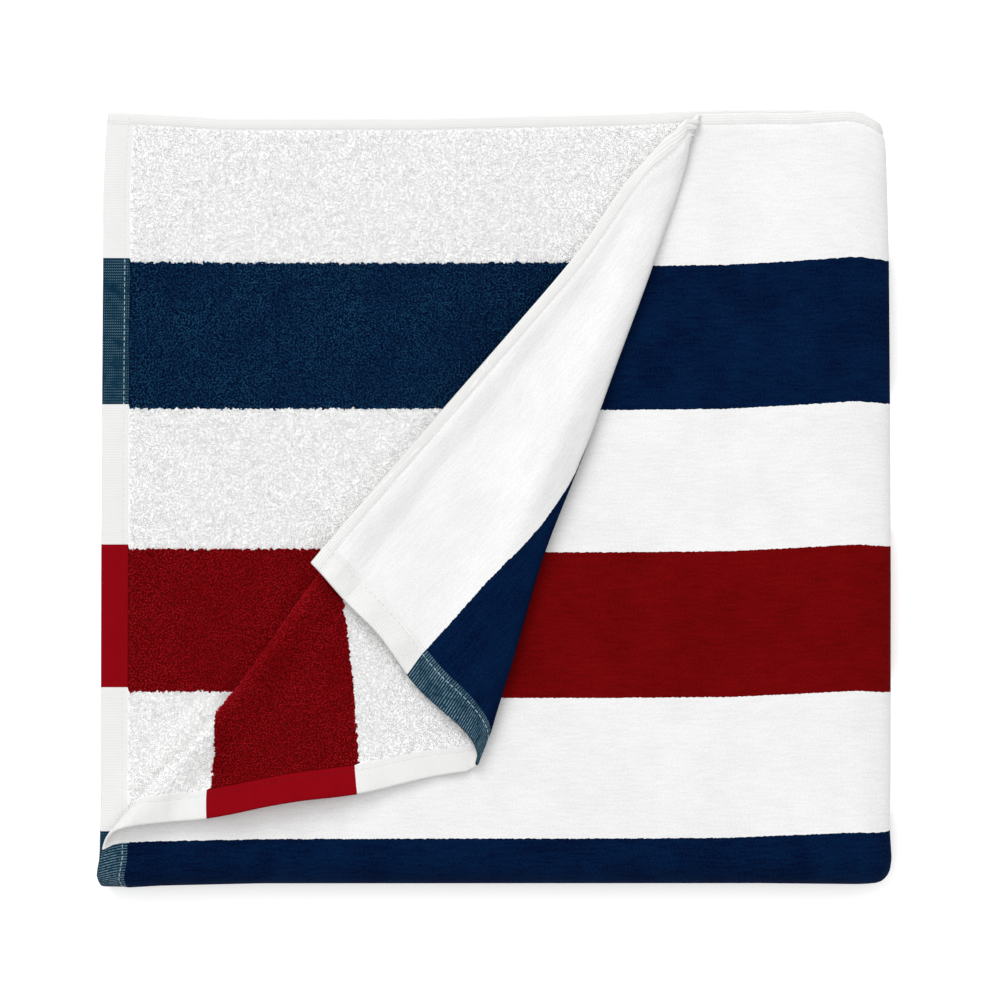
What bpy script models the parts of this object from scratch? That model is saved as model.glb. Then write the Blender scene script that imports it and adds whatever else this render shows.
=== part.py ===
"""A striped beach towel, folded flat, with one corner turned over twice.

The towel is one length of cloth. It is laid out flat as a grid, with u along its length and
v across its width, and every grid point is then moved to its place in the folded towel:

1. crosswise in half, and again, which gives four layers between a left and a right edge;
2. lengthwise in half around the bottom edge, which gives eight layers;
3. the free corner of the top layer turned over to the right, and its tip turned back again.

The moved grid is the middle surface of the cloth, and Solidify gives it its thickness.
Metres, +Z up. The origin is under the middle of the folded towel, on the surface it lies on.
"""

import math

import bmesh
import bpy
from mathutils import Vector

MM = 0.001

# The cloth
CLOTH_LENGTH = 1523.6 * MM
CLOTH_WIDTH = 761.8 * MM
CLOTH_THICKNESS = 2.5 * MM
LAYER_PITCH = 3.6 * MM  # from the middle of one layer to the middle of the next

# The folded outline
LEFT_X = -190.8 * MM  # end hem of the top layer
RIGHT_FOLD_X = 186.1 * MM  # centre of the outer right fold
INNER_FOLD_X = 184.6 * MM  # centre of the right fold inside it
LEFT_FOLD_X = -185.8 * MM  # centre of the left fold
TOP_Y = 188.2 * MM  # where both selvedges lie
ROLL_Y = -172.9 * MM  # where the cloth starts to turn around the bottom edge

OUTER_RADIUS = 1.5 * LAYER_PITCH
INNER_RADIUS = 0.5 * LAYER_PITCH
ROLL_RADIUS = 2.0 * LAYER_PITCH  # of the middle of the four layers, around the bottom edge
ROLL_Z = ROLL_RADIUS + OUTER_RADIUS + CLOTH_THICKNESS / 2
TOP_Z = ROLL_Z + ROLL_RADIUS + OUTER_RADIUS  # middle of the top layer

FRONT_LENGTH = TOP_Y - ROLL_Y
ROLL_LENGTH = CLOTH_WIDTH - 2 * FRONT_LENGTH

OUTER_STEPS = 6
INNER_STEPS = 5
ROLL_STEPS = 8
CURL_STEPS = 7

# Where the grid lines lie: places along X, the same for every layer, and rows as shares of
# the way from a selvedge to the bottom edge
COLUMNS = (
    -179.3 * MM,
    -163.2 * MM,
    -133.6 * MM,
    -95.0 * MM,
    -36.1 * MM,
    15.0 * MM,
    65.7 * MM,
    118.0 * MM,
    160.0 * MM,
    175.8 * MM,
    182.1 * MM,
)
ROWS = (0.0, 0.03, 0.07, 0.12, 0.2, 0.32, 0.44, 0.56, 0.7, 0.84, 0.93, 1.0)

# The two diagonal folds of the turned corner. Each one is a cone: its radius and the cloth
# that it takes up both grow with the distance from where it starts on the selvedge.
FIRST_FOLD = {
    "start": (104.8 * MM, TOP_Y),
    "direction": -129.39,  # degrees, from +X
    "radius": 2.4 * MM,
    "radius_growth": 0.0040,  # per metre run
    "taken": 7.6 * MM,
    "taken_growth": 0.0247,
    "across": 0.959,  # how far the cloth beyond the fold is drawn together,
    "skew": 0.074,  # and how far it slides along the fold
}
SECOND_FOLD = {
    "start": (97.0 * MM, TOP_Y),
    "direction": -109.48,
    "radius": 2.4 * MM,
    "radius_growth": 0.0110,
    "taken": 7.6 * MM,
    "taken_growth": 0.0901,
    "across": 0.986,
    "skew": 0.061,
}
CORNER_STRETCH = -3.4 * MM  # how far the free corner's hem lies left of the straight hem
REST_RUN = 3.0  # the cloth comes down from a fold over this many times its height,
REST_START = 3.0 * MM  # and this much more

# The cloth beyond a fold comes down from it along this curve: (share of the run, height left)
REST_CURVE = ((0.0, 1.0), (0.33, 0.74), (0.67, 0.26), (1.0, 0.0))

# Small slides of the layers, where the real folds aren't straight. Columns: place x and y,
# slide x and y, reach, then how much of it the top layer, the turned layer and the tip take.
SLIDES = (
    (-132.0 * MM, -89.0 * MM, 3.7 * MM, -3.0 * MM, 48.0 * MM, 1, 1, 1),
    (-132.0 * MM, -148.0 * MM, -5.5 * MM, -3.5 * MM, 36.0 * MM, 0, 1, 0),
    (-62.0 * MM, -136.0 * MM, -1.5 * MM, -5.0 * MM, 34.0 * MM, 0, 1, 0),
    (-13.0 * MM, -129.0 * MM, 3.5 * MM, 3.0 * MM, 24.0 * MM, 0, 1, 1),
    (24.0 * MM, -28.0 * MM, -2.9 * MM, 1.0 * MM, 44.0 * MM, 0, 1, 1),
    (77.0 * MM, 113.0 * MM, 2.1 * MM, 0.7 * MM, 40.0 * MM, 0, 1, 1),
    (-41.0 * MM, -81.0 * MM, -2.8 * MM, -3.2 * MM, 24.0 * MM, 0, 0, 1),
    (68.0 * MM, 154.0 * MM, -2.4 * MM, 0.0, 28.0 * MM, 0, 0, 1),
)

# How far each edge of the stack lies from a straight line. Columns: place along it, slide.
LEFT_EDGE = (
    (-188.0 * MM, 1.2 * MM),
    (-184.5 * MM, -0.5 * MM),
    (-181.2 * MM, -1.9 * MM),
    (-172.0 * MM, 0.0),
    (-92.9 * MM, 0.0),
    (-25.0 * MM, 0.2 * MM),
    (46.3 * MM, 0.6 * MM),
    (115.7 * MM, 1.1 * MM),
    (148.2 * MM, 1.1 * MM),
    (170.5 * MM, 2.4 * MM),
    (188.0 * MM, 3.9 * MM),
)
RIGHT_EDGE = (
    (-188.0 * MM, -1.5 * MM),
    (-175.3 * MM, -0.1 * MM),
    (-160.8 * MM, -1.2 * MM),
    (-136.5 * MM, -0.6 * MM),
    (-92.9 * MM, -1.1 * MM),
    (47.8 * MM, -1.1 * MM),
    (114.7 * MM, -1.5 * MM),
    (176.3 * MM, -2.6 * MM),
    (183.6 * MM, -3.6 * MM),
    (188.0 * MM, -4.5 * MM),
)
TOP_EDGE = (
    (-190.0 * MM, -1.0 * MM),
    (-163.2 * MM, -2.0 * MM),
    (-133.6 * MM, -3.9 * MM),
    (-36.1 * MM, -3.9 * MM),
    (65.7 * MM, -1.7 * MM),
    (94.8 * MM, -0.2 * MM),
    (109.4 * MM, 0.2 * MM),
    (175.8 * MM, 0.2 * MM),
    (182.1 * MM, -1.2 * MM),
    (188.9 * MM, -4.4 * MM),
    (193.0 * MM, -6.5 * MM),
)
BOTTOM_EDGE = (
    (-191.3 * MM, -0.4 * MM),
    (-179.2 * MM, -1.4 * MM),
    (-147.7 * MM, -0.3 * MM),
    (-113.7 * MM, 0.1 * MM),
    (128.8 * MM, 0.0),
    (180.0 * MM, 0.2 * MM),
    (187.0 * MM, 1.3 * MM),
    (193.0 * MM, 3.2 * MM),
)
SIDE_REACH = 110.0 * MM  # how far into the stack an edge's slide is felt
END_REACH = 90.0 * MM

# How far each layer's selvedge lies back from the top edge. Columns: front, back.
SETBACK = (
    (0.0, 1.8 * MM),
    (1.5 * MM, 0.5 * MM),
    (0.7 * MM, 2.2 * MM),
    (0.0, 1.1 * MM),
)
SETBACK_REACH = 60.0 * MM
SMALLEST_EDGE = 1e-5
OUTLINE_MIDDLE = (-0.475 * MM, 0.228 * MM)  # of the bounding box, before it is centred
NEAREST = 1e-4  # grid points closer than this are merged
LINE_RUN = 600.0 * MM  # from the start of a fold to past the end hem


def mix(a, b, share):
    return a + (b - a) * share


def ease(share):
    """0 to 1 with a level start and end."""
    share = min(max(share, 0.0), 1.0)
    return share * share * (3.0 - 2.0 * share)


def look_up(table, place):
    """The second column of a table at a place in its first column."""
    if place <= table[0][0]:
        return table[0][1]
    for (a, low), (b, high) in zip(table, table[1:]):
        if place <= b:
            return mix(low, high, (place - a) / (b - a))
    return table[-1][1]


def stretches():
    """The cloth's length as the layers and folds it makes: (kind, start u, end u)."""
    arc, small = math.pi * OUTER_RADIUS, math.pi * INNER_RADIUS
    lengths = (
        ("top", RIGHT_FOLD_X - LEFT_X),
        ("outer fold", arc),
        ("under", RIGHT_FOLD_X - LEFT_FOLD_X),
        ("left fold", small),
        ("third", INNER_FOLD_X - LEFT_FOLD_X),
        ("inner fold", small),
    )
    rows, u = [], 0.0
    for kind, length in lengths:
        rows.append((kind, u, u + length))
        u += length
    return rows + [("back", u, CLOTH_LENGTH)]


STRETCHES = stretches()
TOP_END = STRETCHES[0][2]


def section(u):
    """Where u lies across the four layers: x, height over their middle, and layer 0 to 3."""
    half = LAYER_PITCH / 2
    for kind, start, end in STRETCHES:
        if u <= end or kind == "back":
            break
    run = u - start
    turn = math.pi * run / (end - start)
    if kind == "top":
        return LEFT_X + run, OUTER_RADIUS, 0.0
    if kind == "outer fold":
        x = RIGHT_FOLD_X + OUTER_RADIUS * math.sin(turn)
        return x, OUTER_RADIUS * math.cos(turn), turn / math.pi
    if kind == "under":
        return RIGHT_FOLD_X - run, -OUTER_RADIUS, 1.0
    if kind == "left fold":
        x = LEFT_FOLD_X - INNER_RADIUS * math.sin(turn)
        return x, -LAYER_PITCH - INNER_RADIUS * math.cos(turn), 1.0 + turn / math.pi
    if kind == "third":
        return LEFT_FOLD_X + run, -half, 2.0
    if kind == "inner fold":
        x = INNER_FOLD_X + INNER_RADIUS * math.sin(turn)
        return x, -INNER_RADIUS * math.cos(turn), 2.0 + turn / math.pi
    return INNER_FOLD_X - run, half, 3.0


def setback(layer, side, run):
    """How far a layer's selvedge is drawn back, at a distance from it."""
    low = int(min(layer, 2.0))
    amount = mix(SETBACK[low][side], SETBACK[low + 1][side], layer - low)
    return amount * (1.0 - ease(run / SETBACK_REACH))


def rolled(u, v):
    """Where a point of the cloth lies once it is folded in half three times."""
    x, lift, layer = section(u)
    radius = ROLL_RADIUS + lift
    if v <= FRONT_LENGTH:
        return x, TOP_Y - v - setback(layer, 0, v), ROLL_Z + radius
    if v <= FRONT_LENGTH + ROLL_LENGTH:
        turn = math.pi * (v - FRONT_LENGTH) / ROLL_LENGTH
        return x, ROLL_Y - radius * math.sin(turn), ROLL_Z + radius * math.cos(turn)
    left = CLOTH_WIDTH - v
    return x, TOP_Y - left - setback(layer, 1, left), ROLL_Z - radius


class Fold:
    """A diagonal fold of flat cloth, which turns the cloth on its far side over."""

    def __init__(self, row, side):
        """The far side is on the left of the direction for side 1, on its right for -1."""
        angle = math.radians(row["direction"])
        self.row = row
        self.start = Vector(row["start"])
        self.along = Vector((math.cos(angle), math.sin(angle)))
        self.far = Vector((-self.along.y, self.along.x)) * side

    def radius(self, run):
        return self.row["radius"] + self.row["radius_growth"] * max(run, 0.0)

    def taken(self, run):
        return self.row["taken"] + self.row["taken_growth"] * max(run, 0.0)

    def height(self, run):
        """How much higher than one layer's pitch the cloth leaves the fold."""
        return 2 * self.radius(run) - LAYER_PITCH

    def split(self, point):
        """A point as its run along the fold and its distance on the far side."""
        offset = point - self.start
        return offset.dot(self.along), offset.dot(self.far)

    def turned(self, point):
        """Where a point of the cloth comes to lie: place, height, share of the turn."""
        run, out = self.split(point)
        radius, taken = self.radius(run), self.taken(run)
        if out <= 0.0:
            return point, 0.0, 0.0
        if out < taken:
            turn = math.pi * out / taken
            place = self.start + self.along * run + self.far * (radius * math.sin(turn))
            return place, radius * (1.0 - math.cos(turn)), turn / math.pi
        back = out - taken
        place = self.start + self.along * (run + self.row["skew"] * back)
        return place - self.far * (self.row["across"] * back), 2 * radius, 1.0

    def flat(self, run, out):
        """The cloth point that lies at a run along the fold, and out from its axis."""
        return self.start + self.along * run + self.far * out

    def unturned(self, place):
        """The cloth point that comes to lie at a place, beyond the fold."""
        run, out = self.split(place)
        back = -out / self.row["across"]
        run -= self.row["skew"] * back
        return self.flat(run, back + self.taken(run))

    def resting(self, place):
        """How much of the fold's height is left where the cloth comes down from it."""
        run, out = self.split(place)
        return self.height(run) * look_up(REST_CURVE, -out / self.rest_run(run))

    def rest_run(self, run):
        return REST_START + REST_RUN * self.height(run)


FIRST = Fold(FIRST_FOLD, -1)
SECOND = Fold(SECOND_FOLD, 1)


def stretched(x, y):
    """A point of the straight top layer, with its free corner pulled out along the hem."""
    reach_x = (FIRST_FOLD["start"][0] - x) / (FIRST_FOLD["start"][0] - LEFT_X)
    reach_y = (y - ROLL_Y) / FRONT_LENGTH
    return x + CORNER_STRETCH * max(reach_x, 0.0) * max(reach_y, 0.0)


def slid(x, y, shares):
    """The small slides at a place, for a layer that takes each row's share of them."""
    dx = dy = 0.0
    for row in SLIDES:
        away = ((x - row[0]) ** 2 + (y - row[1]) ** 2) / row[4] ** 2
        weight = math.exp(-away) * sum(a * b for a, b in zip(shares, row[5:]))
        dx += row[2] * weight
        dy += row[3] * weight
    return x + dx, y + dy


def corner(point):
    """Where a point of the flat top layer lies once its corner is turned over twice."""
    place, height, first = FIRST.turned(point)
    second = 0.0
    if first >= 1.0:
        under = place
        place, extra, second = SECOND.turned(under)
        axis = SECOND.flat(SECOND.split(under)[0], 0.0)
        resting = FIRST.resting(axis if 0.0 < second < 1.0 else place)
        height = LAYER_PITCH + resting + extra
        if second >= 1.0:
            height = 2 * LAYER_PITCH + resting + SECOND.resting(place)
    shares = (1.0 - first, first * (1.0 - second), first * second)
    x, y = slid(place.x, place.y, shares)
    return x, y, TOP_Z + height


def uneven(x, y):
    """Slides a place so that the stack's four edges follow their tables."""
    left = 1.0 - ease((x - LEFT_X) / SIDE_REACH)
    right = 1.0 - ease((RIGHT_FOLD_X + OUTER_RADIUS - x) / SIDE_REACH)
    top = 1.0 - ease((TOP_Y - y) / END_REACH)
    bottom = 1.0 - ease((y - ROLL_Y + ROLL_RADIUS + OUTER_RADIUS) / END_REACH)
    dx = left * look_up(LEFT_EDGE, y) + right * look_up(RIGHT_EDGE, y)
    dy = top * look_up(TOP_EDGE, x) + bottom * look_up(BOTTOM_EDGE, x)
    return x + dx, y + dy


def folded(u, v, on_top):
    """The place in the folded towel of a grid point, which is flat XY on the top layer."""
    x, y, z = corner(Vector((u, v))) if on_top else rolled(u, v)
    x, y = uneven(x, y)
    return x - OUTLINE_MIDDLE[0], y - OUTLINE_MIDDLE[1], z


def along_length():
    """The grid's places along the cloth."""
    steps = {"outer fold": OUTER_STEPS, "left fold": INNER_STEPS, "inner fold": INNER_STEPS}
    places = [0.0]
    for kind, start, end in STRETCHES:
        if kind in steps:
            count = steps[kind]
            places += [mix(start, end, i / count) for i in range(1, count)]
        else:
            first, last = section(start)[0], section(end)[0]
            shares = sorted((x - first) / (last - first) for x in COLUMNS)
            places += [mix(start, end, share) for share in shares if 0.003 < share < 0.997]
        places.append(end)
    return places


def across_width():
    """The grid's places across the cloth."""
    front = [FRONT_LENGTH * share for share in ROWS]
    roll = [FRONT_LENGTH + ROLL_LENGTH * i / ROLL_STEPS for i in range(1, ROLL_STEPS)]
    return front + roll + [CLOTH_WIDTH - place for place in reversed(front)]


def flat_cloth():
    """The cloth's grid. Its top layer lies in XY already, and the rest in u and v."""
    mesh = bmesh.new()
    on_top = mesh.faces.layers.int.new("on_top")
    columns, rows = along_length(), across_width()
    top_columns = [u for u in columns if u <= TOP_END + SMALLEST_EDGE]
    top_rows = [v for v in rows if v <= FRONT_LENGTH + SMALLEST_EDGE]
    grid = [[mesh.verts.new((u, v, 0.0)) for v in rows] for u in columns]
    for i in range(len(columns) - 1):
        for j in range(len(rows) - 1):
            corners = (grid[i][j], grid[i + 1][j], grid[i + 1][j + 1], grid[i][j + 1])
            face = mesh.faces.new(corners)
            face[on_top] = i < len(top_columns) - 1 and j < len(top_rows) - 1
    return mesh, on_top


def lay_top_flat(mesh, on_top):
    """Moves the top layer's points from u and v to their straight places in XY."""
    for vertex in top_vertices_of(mesh, on_top):
        x, y = LEFT_X + vertex.co.x, TOP_Y - vertex.co.y
        vertex.co = (stretched(x, y), y, 0.0)


def top_vertices_of(mesh, on_top):
    return {vertex for face in mesh.faces if face[on_top] for vertex in face.verts}


def curl_lines(fold, source):
    """The lines in the flat cloth that one fold bends along, from its start to its end."""
    shares = [i / CURL_STEPS for i in range(CURL_STEPS + 1)]
    return [
        [source(fold.flat(run, share * fold.taken(run))) for run in (0.0, LINE_RUN)]
        for share in shares
    ]


def rest_lines(fold, source):
    """The lines in the flat cloth that come down from a fold where its rest curve bends."""
    return [
        [source(fold.flat(run, -share * fold.rest_run(run))) for run in (0.0, LINE_RUN)]
        for share, _ in REST_CURVE
    ]


def twice_unturned(place):
    """The cloth point that comes to lie at a place of the tip."""
    return FIRST.unturned(SECOND.unturned(place))


def beyond(line, face):
    """Whether a flat face lies on the free corner's side of a line."""
    start, end = line
    out = (end - start).orthogonal()
    side = (face.calc_center_median().to_2d() - start).dot(out)
    return side * (Vector((LEFT_X, TOP_Y)) - start).dot(out) > 0.0


def cut(mesh, on_top, limits, line):
    """Cuts the top layer's faces that lie beyond every limit along a line."""
    region = [
        face
        for face in mesh.faces
        if face[on_top] and all(beyond(limit, face) for limit in limits)
    ]
    edges = {edge for face in region for edge in face.edges}
    vertices = {vertex for face in region for vertex in face.verts}
    start, end = line
    bmesh.ops.bisect_plane(
        mesh,
        geom=region + list(edges) + list(vertices),
        dist=SMALLEST_EDGE,
        plane_co=start.to_3d(),
        plane_no=(end - start).orthogonal().to_3d(),
    )


def cut_fold_lines(mesh, on_top):
    """Cuts the top layer along the lines where its turned corner bends.

    A line is cut only beyond the folds that come before it, as the cloth there is flat.
    """
    turned = []
    for line in curl_lines(FIRST, Vector.copy):
        cut(mesh, on_top, turned, line)
        turned = [line]
    for line in rest_lines(FIRST, FIRST.unturned)[1:]:
        cut(mesh, on_top, turned, line)
    tip = turned
    for line in curl_lines(SECOND, FIRST.unturned):
        cut(mesh, on_top, tip, line)
        tip = turned + [line]
    for line in rest_lines(SECOND, twice_unturned)[1:] + rest_lines(FIRST, twice_unturned):
        cut(mesh, on_top, tip, line)


def build_cloth(collection):
    """The towel: one length of cloth with its hems, as a folded sheet with a thickness."""
    cloth, on_top = flat_cloth()
    lay_top_flat(cloth, on_top)
    cut_fold_lines(cloth, on_top)
    bmesh.ops.remove_doubles(cloth, verts=list(top_vertices_of(cloth, on_top)), dist=NEAREST)
    top_vertices = top_vertices_of(cloth, on_top)
    for vertex in cloth.verts:
        vertex.co = folded(vertex.co.x, vertex.co.y, vertex in top_vertices)
    bmesh.ops.triangulate(cloth, faces=cloth.faces[:])
    bmesh.ops.recalc_face_normals(cloth, faces=cloth.faces[:])
    data = bpy.data.meshes.new("towel_cloth")
    cloth.to_mesh(data)
    cloth.free()
    towel = bpy.data.objects.new("towel_cloth", data)
    collection.objects.link(towel)
    shell = towel.modifiers.new("Cloth thickness", "SOLIDIFY")
    shell.thickness = CLOTH_THICKNESS
    shell.offset = 0.0
    shell.solidify_mode = "NON_MANIFOLD"
    shell.nonmanifold_thickness_mode = "FIXED"
    shell.use_rim = True
    return towel


def cotton(name, colour, roughness):
    """A plain cloth material."""
    material = bpy.data.materials.new(name)
    material.use_nodes = True
    shader = material.node_tree.nodes["Principled BSDF"]
    shader.inputs["Base Color"].default_value = (*colour, 1.0)
    shader.inputs["Roughness"].default_value = roughness
    shader.inputs["Metallic"].default_value = 0.0
    return material


def clear_scene():
    for item in list(bpy.data.objects):
        bpy.data.objects.remove(item, do_unlink=True)


def main():
    clear_scene()
    collection = bpy.data.collections.new("Beach towel")
    bpy.context.scene.collection.children.link(collection)
    towel = build_cloth(collection)
    towel.data.materials.append(cotton("White cotton", (0.86, 0.86, 0.85), 0.95))


main()
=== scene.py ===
# %% [markdown]
# # A folded beach towel
# A beach towel is one length of cotton: cut pile, called velour, on its face, and uncut loops,
# called terry, on its back. This lesson lays that cloth out flat, folds it as a person would, and
# then adds what a shop photograph shows: the loops, the hems, the sewing and the dyed stripes.
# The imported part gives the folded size. Its soft solid is hidden, and the finer cloth made here
# stands for it.

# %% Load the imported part
import math

import bmesh
import bpy
import numpy as np
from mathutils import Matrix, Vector
from mathutils.bvhtree import BVHTree


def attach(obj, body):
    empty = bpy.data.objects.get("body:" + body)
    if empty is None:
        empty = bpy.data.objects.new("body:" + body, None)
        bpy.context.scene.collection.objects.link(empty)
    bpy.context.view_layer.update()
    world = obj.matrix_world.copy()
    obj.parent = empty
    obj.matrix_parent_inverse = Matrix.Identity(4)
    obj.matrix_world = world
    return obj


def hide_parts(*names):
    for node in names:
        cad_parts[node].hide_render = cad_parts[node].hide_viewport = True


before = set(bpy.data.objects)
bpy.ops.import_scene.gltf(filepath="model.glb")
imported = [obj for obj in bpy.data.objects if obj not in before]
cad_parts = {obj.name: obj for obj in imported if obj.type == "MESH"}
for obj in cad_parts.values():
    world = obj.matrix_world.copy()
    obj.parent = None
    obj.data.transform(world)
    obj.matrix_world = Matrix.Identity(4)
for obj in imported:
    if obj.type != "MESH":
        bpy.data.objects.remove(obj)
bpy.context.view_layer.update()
MM = 0.001

# %% [markdown]
# ## The cloth's own numbers
# Everything starts from the flat cloth: how long, how wide, how thick. A place on it is written
# as u along the length and v across the width, and that pair stays with each point through every
# fold. The dyed stripes, the hems and the sewing then all follow the cloth, as they do on the
# real one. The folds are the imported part's, and so are most of their numbers. The few that differ
# follow the photograph's soft shading, which the part's coarser solid can't show.

# %% Sizes of the cloth and of the folded stack
CLOTH_LENGTH = 1523.6 * MM
CLOTH_WIDTH = 761.8 * MM
LAYER_PITCH = 3.6 * MM  # from the middle of one layer to the middle of the next
BODY_THICKNESS = 2.5 * MM

LEFT_X = -190.8 * MM  # end hem of the top layer
RIGHT_FOLD_X = 186.1 * MM  # centres of the crosswise folds
INNER_FOLD_X = 184.6 * MM
LEFT_FOLD_X = -185.8 * MM
TOP_Y = 188.2 * MM  # where both selvedges lie
ROLL_Y = -172.9 * MM  # where the cloth starts to turn around the bottom edge
OUTER_RADIUS = 1.5 * LAYER_PITCH
INNER_RADIUS = 0.5 * LAYER_PITCH
ROLL_RADIUS = 2.0 * LAYER_PITCH
ROLL_Z = ROLL_RADIUS + OUTER_RADIUS + BODY_THICKNESS / 2
TOP_Z = ROLL_Z + ROLL_RADIUS + OUTER_RADIUS  # middle of the top layer
FRONT_LENGTH = TOP_Y - ROLL_Y
ROLL_LENGTH = CLOTH_WIDTH - 2 * FRONT_LENGTH
OUTLINE_MIDDLE = (-0.475 * MM, 0.228 * MM)  # of the folded outline, before it is centred
END_HEM = 12.7 * MM
SIDE_HEM = 5.2 * MM
print(f"flat cloth {CLOTH_WIDTH:.3f} by {CLOTH_LENGTH:.3f} m, eight layers when folded")

# %% [markdown]
# ## Small helpers
# Cloth never turns a sharp corner, so most shapes here blend from one value to the next with a
# curve that starts and ends level. Tables are written in millimetres and turned into metres once.

# %% Blending and looking up


def mix(a, b, share):
    return a + (b - a) * share


def ease(share):
    """0 to 1 with a level start and end."""
    share = min(max(share, 0.0), 1.0)
    return share * share * (3.0 - 2.0 * share)


def look_up(table, place):
    """The second column of a table at a place in its first, on a straight line between rows."""
    if place <= table[0][0]:
        return table[0][1]
    for (a, low), (b, high) in zip(table, table[1:]):
        if place <= b:
            return mix(low, high, (place - a) / (b - a))
    return table[-1][1]


def in_mm(rows, columns=2):
    """A table in millimetres, turned into metres. Columns past that number stay as they are."""
    return tuple((*(value * MM for value in row[:columns]), *row[columns:]) for row in rows)


print("a quarter of the way, eased:", ease(0.25))

# %% [markdown]
# ## Folding crosswise twice
# The towel is folded in half and in half again, so its length runs right, back, right and back
# once more. `section` walks that path like a tailor's tape: it turns a length u into a place
# along X, a height, and the number of the layer.

# %% The path of the cloth's length


def stretches():
    """The cloth's length as the layers and folds it makes: kind, start u, end u."""
    lengths = (
        ("top", RIGHT_FOLD_X - LEFT_X),
        ("outer fold", math.pi * OUTER_RADIUS),
        ("under", RIGHT_FOLD_X - LEFT_FOLD_X),
        ("left fold", math.pi * INNER_RADIUS),
        ("third", INNER_FOLD_X - LEFT_FOLD_X),
        ("inner fold", math.pi * INNER_RADIUS),
    )
    rows, u = [], 0.0
    for kind, length in lengths:
        rows.append((kind, u, u + length))
        u += length
    return rows + [("back", u, CLOTH_LENGTH)]


STRETCHES = stretches()
TOP_END = STRETCHES[0][2]
BACK_START = STRETCHES[-1][1]


def section(u):
    """Where u lies across the four layers: x, height over their middle, and layer 0 to 3."""
    half = LAYER_PITCH / 2
    for kind, start, end in STRETCHES:
        if u <= end or kind == "back":
            break
    run = u - start
    turn = math.pi * run / (end - start)
    if kind == "top":
        return LEFT_X + run, OUTER_RADIUS, 0.0
    if kind == "outer fold":
        x = RIGHT_FOLD_X + OUTER_RADIUS * math.sin(turn)
        return x, OUTER_RADIUS * math.cos(turn), turn / math.pi
    if kind == "under":
        return RIGHT_FOLD_X - run, -OUTER_RADIUS, 1.0
    if kind == "left fold":
        x = LEFT_FOLD_X - INNER_RADIUS * math.sin(turn)
        return x, -LAYER_PITCH - INNER_RADIUS * math.cos(turn), 1.0 + turn / math.pi
    if kind == "third":
        return LEFT_FOLD_X + run, -half, 2.0
    if kind == "inner fold":
        x = INNER_FOLD_X + INNER_RADIUS * math.sin(turn)
        return x, -INNER_RADIUS * math.cos(turn), 2.0 + turn / math.pi
    return INNER_FOLD_X - run, half, 3.0


for kind, start, end in STRETCHES:
    print(f"{kind:11s} {start * 1000:7.1f} to {end * 1000:7.1f} mm")

# %% [markdown]
# ## Folding lengthwise
# The four layers are then folded once more around the bottom edge. Each selvedge lies a little
# further back than the one above it, because nobody stacks eight layers perfectly.

# %% The roll around the bottom edge
SETBACK = in_mm(((0.0, 1.8), (1.5, 0.5), (0.7, 2.2), (0.0, 1.1)))  # of each layer: front, back
SETBACK_REACH = 60.0 * MM


def setback(layer, side, run):
    """How far a layer's selvedge is drawn back, at a distance from it."""
    low = int(min(layer, 2.0))
    amount = mix(SETBACK[low][side], SETBACK[low + 1][side], layer - low)
    return amount * (1.0 - ease(run / SETBACK_REACH))


def rolled(u, v):
    """Where u, v lies in the stack before its corner is turned."""
    x, lift, layer = section(u)
    radius = ROLL_RADIUS + lift
    if v <= FRONT_LENGTH:
        return x, TOP_Y - v - setback(layer, 0, v), ROLL_Z + radius
    if v <= FRONT_LENGTH + ROLL_LENGTH:
        turn = math.pi * (v - FRONT_LENGTH) / ROLL_LENGTH
        return x, ROLL_Y - radius * math.sin(turn), ROLL_Z + radius * math.cos(turn)
    left = CLOTH_WIDTH - v
    return x, TOP_Y - left - setback(layer, 1, left), ROLL_Z - radius


print(f"the lengthwise fold takes {ROLL_LENGTH / MM:.1f} mm of the cloth's width")

# %% [markdown]
# ## Turning the corner over, and its tip back
# A diagonal fold of thick cloth isn't a crease but a soft tube that opens towards the free edge.
# Each fold here is part of a cone: its radius grows along it. Beyond the tube the cloth lies
# upside down and comes to rest on the layer below. The second fold is lower and wider than the
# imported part's, because soft cloth sinks under its own weight into a flattened tube.

# %% The two diagonal folds in numbers
FIRST_FOLD = {
    "start": (104.8 * MM, TOP_Y),
    "direction": -129.39,  # degrees, from +X
    "radius": 2.4 * MM,
    "radius_growth": 0.0040,  # for each metre along the fold, as the other growths
    "taken": 7.6 * MM,  # cloth that goes into the tube
    "taken_growth": 0.0247,
    "edge": 0.5,  # share of that cloth in the lower half of the tube
    "flatness": 1.0,  # height of the tube against a round one
    "flare": 0.0,  # how much further back the upper half reaches
    "flare_growth": 0.0,
    "across": 0.959,  # how far the cloth beyond the fold is drawn together
    "skew": 0.074,  # how far it slides along the fold
}
SECOND_FOLD = {
    "start": (97.0 * MM, TOP_Y),
    "direction": -109.48,
    "radius": 2.4 * MM,
    "radius_growth": 0.0110,
    "taken": 10.1 * MM,
    "taken_growth": 0.1246,
    "edge": 0.32,
    "flatness": 0.8,
    "flare": 2.5 * MM,
    "flare_growth": 0.0340,
    "across": 0.986,
    "skew": 0.061,
}
REST_RUN = 3.0  # cloth comes down from a fold over this many times its height,
REST_START = 3.0 * MM  # and this much more
print("directions of the two folds:", FIRST_FOLD["direction"], SECOND_FOLD["direction"])

# %% How a diagonal fold moves the cloth


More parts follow.
